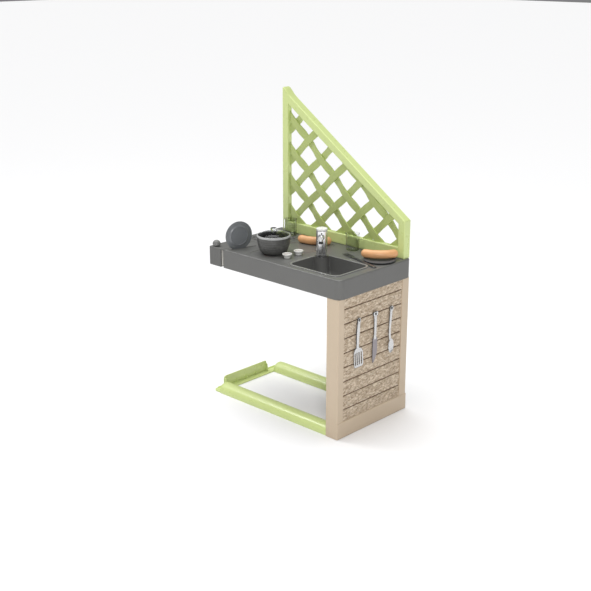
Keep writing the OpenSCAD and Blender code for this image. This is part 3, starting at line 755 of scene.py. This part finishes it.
def woven(s, lean):
    """Over and under in turn: each slat swings between the two layers from crossing to crossing."""
    bm = bmesh.new()
    vs = [bm.verts.new(p) for p in s.v]
    for f in s.f:
        bm.faces.new([vs[k] for k in f])
    for k in range(-36, 37):
        bmesh.ops.bisect_plane(bm, geom=bm.verts[:] + bm.edges[:] + bm.faces[:], plane_co=(k * 8.3, 0, 0),
                               plane_no=(1, 0, 0))
    bm.verts.index_update()
    out = Shell()
    for v in bm.verts:
        k = max(-1.0, min(1.0, 1.9 * math.cos(2 * math.pi * (v.co.x - CROSSING) / PITCH_X)))
        out.v.append((v.co.x, v.co.y - lean * SWING * k, v.co.z))
    out.f = [tuple(v.index for v in f.verts) for f in bm.faces]
    out.m = [0] * len(out.f)
    bm.free()
    return out


SLAT_CORNERS = ((-700, -SLAT_HALF), (700, -SLAT_HALF), (700, SLAT_HALF), (-700, SLAT_HALF))
for name, lean, node in (("lattice_slats_front", 1, "lattice_front_slats"),
                         ("lattice_slats_back", -1, "lattice_back_slats")):
    s = Shell()
    for i in range(-6, 7):
        cx, cz = CROSSING + (i + 0.5) * PITCH_X, 848.0
        d = Vector((math.cos(TILT), -lean * math.sin(TILT)))
        n = Vector((-d.y, d.x))
        poly = [tuple(Vector((cx, cz)) + d * u + n * v) for u, v in SLAT_CORNERS]
        for line in lines:
            poly = clip(poly, line)
            if len(poly) < 3:
                break
        if len(poly) < 3 or abs(area(poly)) < 60:
            continue
        # drop points closer than half a millimetre
        poly = [p for k, p in enumerate(poly) if (Vector(p) - Vector(poly[k - 1])).length > 0.5]
        rounded_prism(s, poly, SF + 10.6, SF + 17.4, 1.5, standing)
    s = woven(s, lean)
    make(name, s, SLAT_SHADED_GREEN, "stand", [node], sharp=50)

# ---- side panel

PL, PR, PF, PB = 270.6, 325.0, -197.0, 196.0


def yz(loop, x):
    return [(x, p[0], p[1]) for p in loop]


def panel_loop(off, x):
    return yz(rrect(PF, PB, 0, 525 - off, 1.2, off, 0, 3), x)


def pocket(off, x):
    return yz(rrect(-166, 157, 63, 523.6, 0.8, off, 0, 3), x)


s = Shell()
back_edge = [(-4, PR - 7), (-4, PL + 4.4), (-4, PL + 0.6), (-3.4, PL), (-0.8, PL), (0, PL + 0.8)]
ids = s.rings(layers(panel_loop, back_edge + lift(arc_profile(4.2, 6), PR)))
pk = s.rings(layers(pocket, [(1.2, PR), (0.5, PR - 0.15), (0.1, PR - 0.6), (0, PR - 1.2), (0, PR - 7.4)]))
s.cap(ids[-1], [pk[0]], (1, 2))
s.cap(pk[-1], (), (1, 2))
s.cap(ids[0], (), (1, 2))
make("panel_shell", s, BEIGE, "stand", ["side_panel"])

# plinth band, a hair proud of the posts, with a shadow line above it
s = Shell()
band = [(0, PR - 8), (0, PR - 0.2), (-0.3, PR + 0.8), (-1.0, PR + 1.5), (-2.0, PR + 1.8)]
s.plug(s.rings([yz(rrect(PF - 0.9, PB + 0.9, 0.2, 61.8, 1.4, o, 0, 4), x) for o, x in band]), (1, 2))
make("panel_plinth", s, BEIGE, "stand", ())

# stone insert: nine courses of split stone
s = Shell()
Y0, Y1, Z0, Z1 = -165.7, 156.7, 63.3, 524.6
STONE_FRONT = 323.45
ny, nz = 190, 272
joints_z = [484.3 - 54.1 * i for i in range(8)]


def stone_height(y, z):
    edge = min(abs(z - j) for j in joints_z)
    row = sum(1 for j in joints_z if z < j)
    # slanting split facets, each course with its own phase
    side = -1 if row % 2 else 1
    u, w = y * 0.8 + side * z * 0.6, z * 0.8 - side * y * 0.6
    p = Vector((u * 0.045 + row * 3.7, w * 0.11 + row * 11.3, row * 5.1))
    q = Vector((u * 0.10 + row * 2.3, w * 0.24, 3.3))
    a = noise.voronoi(p * 1.5)[0]
    b = noise.voronoi(q * 1.1)[0]
    h = (1.3 * (a[1] - a[0]) + 0.55 * (b[1] - b[0]) + 0.6 * noise.noise(p * 1.4)
         + 0.3 * noise.noise(q * 2.3) - 0.55)
    h = max(-1.2, min(1.1, h))
    groove = max(0.0, 1 - edge / 2.3)
    lip = min(1.0, max(0.0, (edge - 1.0) / 7.0)) ** 0.5
    return 322.2 + 1.15 * h * (0.35 + 0.65 * lip) - 3.4 * min(1, groove * 1.6), groove, h


grid, cav = [], []
for j in range(nz + 1):
    z = Z0 + (Z1 - Z0) * j / nz
    row = []
    for i in range(ny + 1):
        y = Y0 + (Y1 - Y0) * i / ny
        x, g, h = stone_height(y, z)
        row.append((min(x, STONE_FRONT), y, z))
        # cavity: painted shade, darkest in the joints and the deeper pits
        cav.append(min(1.0, g * 1.7 + max(0.0, -0.25 - h) * 0.9))
    grid.append(s.loop(row))
for a, b in zip(grid, grid[1:]):
    s.bridge(a, b, closed=False)
rim_ids = grid[0] + [r[-1] for r in grid[1:]] + grid[-1][::-1][1:] + [r[0] for r in grid[::-1][1:-1]]
back = s.loop([(317.6, s.v[k][1], s.v[k][2]) for k in rim_ids])
s.bridge(rim_ids, back)
s.face(back)
cav += [0.0] * len(back)
ob = make("stone_courses", s, STONE, "stand", ["stone_insert"], sharp=60, weighted=False)
if len(ob.data.vertices) != len(cav):
    raise RuntimeError("stone vertices were merged")
ob.data.attributes.new("cavity", "FLOAT", "POINT").data.foreach_set("value", cav)

# ---- floor frame

BEAM_R, BEAM_YS = 34.0, (-160.0, 143.0)
HALF_TURN = [unit(180 * i / 28) for i in range(29)]


def beam(name, cy, node):
    """Half-round beam along X, with a rounded end towards the bracket."""
    x0, x1 = -293.0, 270.4
    s = Shell()

    def section(r, x):
        foot = 2.0 if r == BEAM_R else 1.2
        arch = [(x, cy + r * c, (BEAM_R - 2.0) * k * (r / BEAM_R) + foot) for c, k in HALF_TURN]
        return [(x, cy + r, 0.0)] + arch + [(x, cy - r, 0.0)]

    ends = [(30.0, x0 + 10), (30.0, x0), (32.2, x0), (33.4, x0 + 0.6), (BEAM_R, x0 + 1.8), (BEAM_R, x1)]
    ids = s.rings(layers(section, ends))
    s.face(ids[0])
    s.face(ids[-1])
    make(name, s, GREEN, "stand", [node], sharp=40)


beam("floor_beam_front", BEAM_YS[0], "front_floor_beam")
beam("floor_beam_rear", BEAM_YS[1], "rear_floor_beam")

# ---- ribs, webs and a pale strip in the slot, painted light

s = Shell()
for x in (-196, -112, 42):
    bar(s, x, x + 3, -194.2, 194.2, 572, 592.3)
for y in (-140, -28, 96):
    bar(s, -251.4, 55, y, y + 3, 572, 592.3)
make("worktop_ribs", s, GREY, "stand", ())

s = Shell()
webs = []
for x in range(-190, 261, 90):
    x2 = x + 2.5
    webs.append([(x, 600), (x2, 600), (x2, 635), (x, 635)])
    webs.append([(x, slope(x, 26.5)), (x2, slope(x2, 26.5)), (x2, slope(x2, 3.5)), (x, slope(x, 3.5))])
webs += [[(SL + 3, z), (SL + 27, z), (SL + 27, z + 2.5), (SL + 3, z + 2.5)] for z in range(700, 1081, 75)]
webs += [[(SR - 27, 700), (SR - 3, 700), (SR - 3, 702.5), (SR - 27, 702.5)]]
for w in webs:
    rounded_prism(s, w, 166, 184, 0.4, standing)
make("screen_webs", s, GREEN, "stand", ())

s = Shell()
# pale strip on the slot's wall: painted light showing through the slot
bar(s, -269.3, -268.3, -191, 191, 529, 590, 0.4)
make("slot_liner", s, SLOT_PAINTED_LIGHT, "stand", ())

# ---- floor bracket

s = Shell()
low = [(-0.8, 0), (-0.2, 0.25), (0, 0.9), (0, 3.4), (-0.5, 4.5), (-1.6, 5)]
s.plug(s.rings([rrect(-333, -295, -193, 176, [17, 2, 2, 12], o, z, 8) for o, z in low]))
# raised lip round the plate's outer edge
lip = [(0, 4.6), (0, 7.6), (-0.6, 8.4), (-1.4, 8.7)]
s.plug(s.rings([rrect(-331.2, -325.4, -174, 162, 2.4, o, z, 4) for o, z in lip]))
collar = [(-301, 29.2), (-300.8, 30.6), (-299.8, 32), (-298.2, 32.8), (-296.4, 33), (-293.2, 33)]
for cy in BEAM_YS:
    s.plug(s.rings([[(x, cy + r * c, r * k + 0.2) for c, k in HALF_TURN] for x, r in collar]), (1, 2))


def flange(o, x):
    return yz(rrect(-145, 92, 4, 48, [0.5, 0.5, 6, 12], o, 0, 6), x)


def ring_yz(y, z, r, x):
    return [(x, a, b) for a, b, _ in circle(y, z, r, 0, 28)]


ids = s.rings(layers(flange, [(-1, -325), (-0.3, -324.7), (0, -324), (0, -322), (-0.3, -321.3), (-1, -321)]))
back, front = [], []
bore = [(3.2, -325), (2.75, -324.5), (2.75, -319.4), (3.1, -319), (6.4, -319), (7, -319.5), (7, -321)]
for y in (-130.5, 69.5):
    h = s.rings([ring_yz(y, 34, r, x) for r, x in bore])
    back.append(h[0])
    front.append(h[-1])
s.cap(ids[0], back, (1, 2))
s.cap(ids[-1], front, (1, 2))
for y in (-143, 86):
    rounded_prism(s, [(-325, 4), (-307, 4), (-312, 35), (-317, 39), (-325, 40)], y, y + 4, 0.9, standing)
# small gussets between plate and flange
for y in (-80, -26, 28):
    rounded_prism(s, [(-322, 4), (-311, 4), (-322, 26)], y, y + 3, 0.5, standing)
make("floor_bracket_frame", s, GREEN, "stand", ["floor_bracket"])

# ---- hob knobs

for name, ky, body, node in (("hob_knob_front_cup", KNOB_YS[0], "front_knob_body", "hob_knob_front"),
                             ("hob_knob_rear_cup", KNOB_YS[1], "rear_knob_body", "hob_knob_rear")):
    s = Shell()
    cup = [(0, 0.3), (10.8, 0.3), (11.5, 0.7), (12, 2), (12.4, 5), (13, 7.4), (14.6, 9.8), (17, 12.2),
           (18.1, 13.4), (18.5, 14.6), (18.5, 15.6), (18.1, 16.5), (17.3, 17), (16.3, 16.8), (15.4, 16),
           (14.4, 14.6)]
    dish = [(14.4, 14.6), (13.4, 13.5), (12.2, 13.05), (10, 13), (0, 13)]
    revolve(lift(cup, HOB), KNOB_X, ky, 64, s)
    # the dish inside the cup takes the grey: painted shade in the recess
    revolve(lift(dish, HOB), KNOB_X, ky, 64, s, 1)
    revolve([(0, 579), (2.6, 579), (4.2, 580.2), (4.2, 582.4), (3, 583.2), (3, 596), (0, 596)], KNOB_X, ky,
            24, s)
    bar(s, -1, 10.6, ky - 1.3, ky + 1.3, 607.4, 611, 0.8)
    make(name, s, [WHITE, KNOB_DISH_SHADE], body, [node])

# ---- tap

SPOUT_TURN, SPOT_TURN = -55, -50
TD = Vector((*unit(SPOUT_TURN), 0))
s = revolve([(8.1, 600.05), (25, 600.05), (25.5, 600.4), (25.5, 601), (25.1, 601.4), (24.6, 601.6),
             (8.1, 601.6), (8.1, 600.05)], TAP_X, TAP_Y, 72)
make("tap_collar_ring", s, DARK, "stand", ["tap_collar"])

s = revolve([(0, 582), (7.4, 582), (8, 582.6), (8, 601.9), (19.6, 601.9), (20.5, 602.8), (20.5, 610),
             (20.2, 611), (20.2, 612), (20.5, 613), (20.5, 696.6), (20.2, 697.6), (19.6, 698.6), (18.8, 699),
             (6.3, 699), (6.3, 686), (0, 686)], TAP_X, TAP_Y, 96)
at = Vector((TAP_X, TAP_Y, 676))
spin(s, at, TD, [(12.6, 16), (12.2, 18.6), (11, 20.6), (10.3, 22), (10, 24), (10, 34.2), (9.7, 35.2),
                 (9, 35.8), (8.4, 36)])
spin(s, at, TD, [(8.4, 36), (8.1, 35.4), (6.4, 35.2), (0, 35.8)], mat=1)
nz = at + TD * 27
spin(s, nz, (0, 0, -1), [(8.5, 0), (8.5, 11.5), (8.1, 12), (7.9, 12.4)], 40)
spin(s, nz, (0, 0, -1), [(7.9, 12.4), (8.5, 12.8), (8.5, 21), (8, 22), (6.4, 22), (6, 21.4), (6, 13),
                         (0, 13)], 40, 2)
out = Vector((*unit(SPOT_TURN), 0))
spot = Vector((TAP_X, TAP_Y, 690)) + out * 20.2
spin(s, spot, out, [(2.6, -0.6), (2.6, 0.2), (2.2, 0.45), (0, 0.5)], 20, 2)
make("tap_column", s, [CHROME, WHITE, DARK], "tap", ["tap_body"])

s = revolve([(0, 687), (5.5, 687), (6, 687.6), (6, 699.3), (19.5, 699.3), (20.3, 699.8), (20.5, 700.6),
             (20.5, 704.4), (20.2, 705.4), (19.2, 706.2), (17, 706.8), (0, 707)], TAP_X, TAP_Y, 96)
corners = ((-15, -3.2), (19.3, -3.2), (19.3, 3.2), (-15, 3.2))
ridge = [turn((TAP_X + u, TAP_Y + v, 0), SPOUT_TURN, (TAP_X, TAP_Y)) for u, v in corners]
rounded_prism(s, flat(ridge), 705, 708, 1.2, lying)
make("tap_lever_cap", s, WHITE, "tap_lever_body", ["tap_lever"])

# ---- pot and lid

PX, PY, PZ = -87.0, -96.0, 595.3
body = []
for k in range(0, 65):
    f = k / 64
    z = 1.2 + 63 * (1 - math.cos(rad(84 * f))) / (1 - math.cos(rad(84)))
    r = 63 * (0.60 + 0.38 * math.sin(rad(90 * f)))
    for g in (22, 32, 42, 52):
        r -= 0.9 * math.exp(-(((z - g) / 1.1) ** 2))
    body.append((r, z))
prof = [(0, 0.6), (34.6, 0.6), (35.4, 0), (36.4, 0), (37.2, 0.4)] + body
band = [body[-1], (62.4, 64.7), (63, 65.3), (63.1, 66.6), (62.7, 67.5), (61.8, 68), (60.8, 68), (60.2, 67.6),
        (59.9, 66.6)]
liner = [(59.9, 66.6)] + [(r - 2.6, max(z, 2.8)) for r, z in body[::-4] if z > 3]
liner += [(34.8, 2.7), (33, 2.6), (0, 2.6)]
s = revolve(lift(prof, PZ), PX, PY, 96)
revolve(lift(band, PZ), PX, PY, 96, s, 1)
# the liner takes the darker grey, painted shade inside the pot
revolve(lift(liner, PZ), PX, PY, 96, s, 2)
for side in (45, 225):
    path = [(58, -15.6)]
    path += [(69.5 + 7 * k, -8.6 - 7 * c) for c, k in map(unit, range(0, 91, 15))]
    path += [(76.8, -4), (77, 0), (76.8, 4)]
    path += [(69.5 + 7 * c, 8.6 + 7 * k) for c, k in map(unit, range(0, 91, 15))] + [(58, 15.6)]
    pts = [turn((PX + u, PY + v, PZ + 58.5), side, (PX, PY)) for u, v in path]
    sweep(s, pts, superellipse(3.0, 2.5, 16))
    corners = ((58.6, -18), (61.6, -18), (61.6, 18), (58.6, 18))
    flap = [turn((PX + u, PY + v, 0), side, (PX, PY)) for u, v in corners]
    rounded_prism(s, flat(flap), PZ + 54.5, PZ + 62.5, 1.0, lying)
make("pot_shell", s, [CHARCOAL, POTRIM, POT_INSIDE_SHADE], "pot_body", ["pot"])

LZ = PZ + 68.3


def dome(r, top, ball=127.5):
    """Height at radius r on a ball whose top is at top above the lid's foot."""
    return LZ + top - ball + math.sqrt(ball ** 2 - r * r)


skin = [(3.1, dome(3.1, 15.2)), (3.1, dome(3.1, 17.2))]
skin += [(r, dome(r, 17.2)) for r in (6, 12, 18, 24, 30, 36, 42, 48, 54, 58, 59.4)]
skin += [(60, LZ + 2.5), (61.2, LZ + 2.2), (61.8, LZ + 1.7), (62, LZ + 1), (61.7, LZ + 0.3), (61, LZ),
         (58.5, LZ), (58, LZ + 0.5)]
skin += [(r, dome(r, 15.2)) for r in (57.4, 54, 48, 42, 36, 30, 24, 18, 12, 6, 3.1)]
s = revolve(skin, PX, PY, 96)
rim_ring = [(59.2, 2.75), (59.4, 3.1), (60.4, 3.0), (61.6, 2.5), (62, 1.8), (62, 0.6), (61.6, 0),
            (60.9, -0.1)]
revolve(lift(rim_ring, LZ), PX, PY, 96, s, 1)
make("pot_lid_glass", s, [CLEAR, POTRIM], "lid_body", ["pot_lid"])
knob = [(0, -3), (2.7, -3), (3, -2.6), (3, 2.3), (6, 2.3), (7.6, 3.2), (10.4, 6), (11.6, 8), (12, 10),
        (11.7, 11.6), (10.6, 12.8), (9, 13.3), (4, 12.9), (0, 12.8)]
s = revolve(lift(knob, LZ + 15), PX, PY, 64)
make("lid_knob_clear", s, SMOKE, "lid_body", ["lid_knob"])

# ---- plates


def plate_profile(R):
    """Foot, well and rim of a plate of radius R: pairs of (radius, height)."""
    k = R / 55
    pts = [(0, 1), (31.9, 1), (32.7, 0.8), (33.1, 0.2), (33.8, 0), (35.8, 0), (36.7, 0.4), (38.4, 1.6),
           (40.7, 3), (44, 3.7), (50, 4.5), (54.3, 5.1), (55, 5.7), (55, 6.5), (54.4, 7), (53.2, 7),
           (52.2, 6.6), (46, 5.8), (40.5, 5), (37.6, 4.3), (35.4, 3.6), (34, 3.4), (0, 3.4)]
    return [(r * k, z) for r, z in pts]


SERVING = (267, 91)
rack_c, rack_s = unit(RACK_TURN)
s = spin(Shell(), (*RACK, 644.8), (-rack_s, rack_c, 0), lift(plate_profile(55), -3.5), 112)
make("upright_plate_disc", s, SLATE, "upright_plate_body", ["upright_plate"])
s = revolve(lift(plate_profile(59), BED), *SERVING, 112)
make("serving_plate_disc", s, PLATTER, "serving_plate_body", ["serving_plate"])

# ---- sausages


def sausage(name, cx, cy, cz, a, body, node):
    """Link bent to a radius of 100 mm, with round ends and a slightly uneven skin."""
    bend, half_turn, end_turn, n = 100, 31, 8.8, 40
    c, k = unit(a)
    ox, oy = cx - bend * c, cy - bend * k
    loops = []
    for step in range(73):
        phi = (half_turn + end_turn) * (-1 + 2 * step / 72)
        over = max(0.0, (abs(phi) - half_turn) / end_turn)
        r = 15.45 * math.sqrt(max(0.0, 1 - over * over)) * (1 - 0.012 * math.sin(phi * 0.35 + 1.1))
        r = max(r, 1.4)
        c, k = unit(a + phi)
        middle, out = Vector((ox + bend * c, oy + bend * k, cz)), Vector((c, k, 0))
        ring = []
        for u, v, _ in circle(0, 0, 1, 0, n):
            uneven = noise.noise(Vector((phi * 0.16, u * 1.1, v * 1.1)))
            rr = min(r * (1 + 0.018 * uneven), 15.5)
            ring.append(tuple(middle + out * (rr * u) + Vector((0, 0, rr * v))))
        loops.append(ring)
    s = Shell()
    ids = s.rings(loops)
    s.close(ids[0], ids[-1])
    make(name, s, SAUSAGE, body, [node], sharp=70)


sausage("sausage_right_link", *SERVING, 620.1, -49, "right_sausage_body", "sausage_right")
sausage("sausage_rear_link", -59, 92, 610.8, -64, "rear_sausage_body", "sausage_rear")

# ---- tumblers

for name, x, body, node in (("tumbler_left_cup", -224, "left_tumbler_body", "tumbler_left"),
                            ("tumbler_right_cup", 100, "right_tumbler_body", "tumbler_right")):
    cup = [(0, 1), (19, 1), (20.4, 0.8), (21.6, 0.2), (22.6, 0), (23.5, 0.2), (24, 0.8), (24.3, 8),
           (25.2, 40), (25.85, 60.5), (26, 62.6), (25.9, 63.5), (25.3, 64), (24.7, 63.9), (24.3, 63.3),
           (24, 60), (23.4, 40), (22.4, 6), (22, 4.2), (21, 3.2), (19.4, 3), (0, 3)]
    s = revolve(lift(cup, BED), x, 136, 72)
    make(name, s, SMOKE, body, [node])

# ---- fork


def ribbon(s, stations, place, n=16, e=3.0):
    """Loft of flat rounded sections: stations of (u, v, w, half width, half thickness)."""
    ids = s.rings([[place(u, v + p, w + q) for p, q in superellipse(a, b, n, e)] for u, v, w, a,
                   b in stations])
    s.close(ids[0], ids[-1])


FORK_FOOT, FORK_TURN = (316, 7), 162.4


def fork_place(u, v, w):
    x, y, _ = turn((FORK_FOOT[0] + u, FORK_FOOT[1] + v, 0), FORK_TURN, FORK_FOOT)
    return (x, y, BED + w)


s = Shell()
spine = [(0, 0, 1.9, 3.2, 1.3), (1.2, 0, 2.0, 5.8, 1.8), (4, 0, 2.1, 7.4, 2.1), (20, 0, 2.2, 8.0, 2.2),
         (60, 0, 2.3, 7.4, 2.1), (100, 0, 2.4, 6.2, 1.9), (120, 0, 2.5, 5.4, 1.7), (140, 0, 2.1, 5.4, 1.4),
         (147, 0, 1.9, 6.4, 1.3), (152, 0, 1.7, 9.2, 1.3), (158, 0, 1.6, 11, 1.3), (165, 0, 1.5, 12, 1.2),
         (169, 0, 1.5, 12, 1.0)]
ribbon(s, spine, fork_place)
for i in (-1.5, -0.5, 0.5, 1.5):
    tine = [(164, i * 6.6, 1.4, 2.1, 1.05), (180, i * 6.6, 1.5, 2.0, 1.05), (196, i * 6.5, 1.9, 1.8, 1.0),
            (205, i * 6.4, 2.2, 1.4, 0.8), (207.8, i * 6.4, 2.3, 0.7, 0.5)]
    ribbon(s, tine, fork_place, 12, 2.4)
make("fork_blank", s, FORK, "fork_body", ["table_fork"], sharp=40)

# ---- hanging utensils

PEGZ = 431.0


def hung(cy):
    return lambda u, v, w: (w, cy + u, PEGZ + v)


def sway(v, bow):
    return bow * math.sin(math.pi * min(1.0, max(0.0, -v / 150)))


def grip(s, cy, bow, stations):
    """Bowed handle from stations of (v, x centre, half width, half thickness), hanging down in Z."""
    ids = s.rings([[(x + q, cy + p + sway(v, bow), PEGZ + v) for p, q in superellipse(a, b, 20, 2.4)]
                   for v, x, a, b in stations])
    s.close(ids[0], ids[-1])


# slotted turner
s = Shell()
cy = -91.0
slab(s, outline(-8, 8, -13, 8.5, 7), [hole(0, 0, 4.2)], 326.1, 330.7, 1.8, hung(cy), (1, 2))
grip(s, cy, -5, [(-8.5, 328.4, 6.8, 2.0), (-14, 328.5, 8.0, 2.6), (-30, 328.6, 8.8, 2.8),
                 (-50, 328.6, 8.6, 2.8), (-70, 328.4, 7.8, 2.6), (-90, 328.2, 6.8, 2.2),
                 (-104, 328, 6.6, 1.8), (-116, 327.6, 7.0, 1.3)])


def scoop(u, v, w):
    return (w + 2.4 * (u / 25) ** 2 + 0.9 * max(0.0, (-v - 150) / 28) ** 2, cy + u + sway(v, -5), PEGZ + v)


slots = [outline(i * 11 - 2.4, i * 11 + 2.4, -169, -122, 2.3, n=4) for i in (-1.5, -0.5, 0.5, 1.5)]
slab(s, outline(-25, 25, -178, -104, [10, 10, 22, 22], n=10), slots, 326.4, 328.5, 0.8, scoop, (1, 2))
make("turner_blank", s, [SILVER, SHADE], "turner_body", ["slotted_turner"], sharp=40,
     edge=True)

# knife
s = Shell()
cy = 0.0
slab(s, outline(-13, 13, -7.5, 8.6, 5), [hole(0, 0, 4.2)], 326, 330.8, 1.3, hung(cy), (1, 2))
grip(s, cy, 0, [(-3.6, 328.4, 6.0, 1.6), (-6, 328.4, 7.2, 2.1), (-16, 328.5, 8.0, 2.5),
                (-50, 328.5, 7.6, 2.5), (-80, 328.4, 7.0, 2.3), (-92, 328.3, 7.6, 1.9),
                (-97, 328.2, 7.8, 1.2)])
blade = [(-9, -90), (-12, -93.5), (-13, -98), (-13, -168), (-12.2, -180), (-10, -186.4), (-8.6, -187),
         (-7, -185.6), (-1, -178), (6, -166), (11, -153), (13, -140), (13, -98), (12, -93.5), (9, -90)]
slab(s, shape(blade), [], 327.1, 329.3, 0.9, hung(cy), (1, 2), mat=1)
make("knife_blank", s, [SILVER, BLADE, SHADE], "knife_body", ["hanging_knife"], sharp=40,
     edge=True)

# spoon
s = Shell()
cy = 91.0
slab(s, outline(-9, 9, -13, 8.5, 7.6), [hole(0, 0, 4.2)], 326.1, 330.7, 1.8, hung(cy), (1, 2))
grip(s, cy, -6, [(-9, 328.4, 6.4, 1.8), (-16, 328.6, 7.4, 2.3), (-40, 328.9, 7.2, 2.4),
                 (-55, 328.6, 6.8, 2.3), (-70, 328.2, 6.4, 2.2), (-83, 327.8, 6.0, 2.0),
                 (-95, 327.5, 5.8, 1.9), (-112, 328.1, 5.6, 1.7), (-122, 329.2, 5.8, 1.5),
                 (-128, 329.9, 6.0, 1.2)])
def oval(a, b, x):
    """Oval round the middle of the spoon's bowl."""
    return [(x, cy + a * c, PEGZ - 146 + b * k) for c, k, _ in circle(0, 0, 1, 0, 48)]


face, rear = [], []
for k in (1.0, 0.93, 0.85, 0.74, 0.6, 0.45, 0.3, 0.15):
    x = 331.0 - 4.2 * (1 - k ** 2.2)
    face.append(oval(15 * k, 27 * k, x))
    rear.append(oval(15 * k, 27 * k, x - 1.4 + (0.5 if k > 0.98 else 0)))
ids = s.rings(rear[::-1] + [oval(15.3, 27.3, 330.9)] + face)
s.fan(ids[0], (325.6, cy, PEGZ - 146))
s.fan(ids[-1], (326.85, cy, PEGZ - 146))
make("spoon_blank", s, [SILVER, SHADE], "spoon_body", ["hanging_spoon"], sharp=40,
     edge=True)

# ---- camera, light, floor

cam = bpy.data.cameras.new("camera")
cam.lens, cam.sensor_width = 64.316, 36.0
cam.clip_start, cam.clip_end = 0.05, 60
CAMERA_DOWN, CAMERA_TURN = 18.145, 43.60
camera = bpy.data.objects.new("camera", cam)
camera.location = (2.5796, -2.7788, 1.6678)
camera.rotation_euler = (rad(90 - CAMERA_DOWN), 0, rad(CAMERA_TURN))
bpy.context.scene.collection.objects.link(camera)
bpy.context.scene.camera = camera

FAR, FLOOR_Z = 30, -0.0004
floor = bpy.data.meshes.new("floor")
floor_corners = [(x, y, FLOOR_Z) for x, y in ((-FAR, -FAR), (FAR, -FAR), (FAR, FAR), (-FAR, FAR))]
floor.from_pydata(floor_corners, [], [(0, 1, 2, 3)])
ground = bpy.data.objects.new("floor", floor)
bpy.context.scene.collection.objects.link(ground)
pale, _, shader = nodes_of("pale_floor")
shader.inputs["Base Color"].default_value = (0.9, 0.9, 0.905, 1)
shader.inputs["Roughness"].default_value = 0.6
shader.inputs["Specular IOR Level"].default_value = 0.2
floor.materials.append(pale)

world = bpy.data.worlds.new("studio")
world.use_nodes = True
sky = world.node_tree.nodes["Background"]
sky.inputs["Color"].default_value = (1, 1, 1, 1)
sky.inputs["Strength"].default_value = 0.22
bpy.context.scene.world = world


def lamp(kind, name, loc, target, size, power):
    """Lamp aimed at target. size is an angle in degrees for a sun and a diameter in metres for an area."""
    data = bpy.data.lights.new(name, kind)
    if kind == "SUN":
        data.angle = rad(size)
    else:
        data.shape, data.size = "DISK", size
    data.energy = power
    o = bpy.data.objects.new(name, data)
    o.location = loc
    o.rotation_euler = (Vector(target) - Vector(loc)).to_track_quat("-Z", "Y").to_euler()
    bpy.context.scene.collection.objects.link(o)


lamp("SUN", "overhead", (-0.5, 0.2, 3.0), (0, 0, 0.4), 58, 2.9)
lamp("AREA", "key", (2.6, -2.5, 2.0), (0, 0, 0.6), 0.8, 48)
lamp("AREA", "side_box", (-2.2, -1.1, 2.9), (0, 0, 0.6), 1.0, 22)
bpy.context.scene.view_settings.view_transform = "Standard"
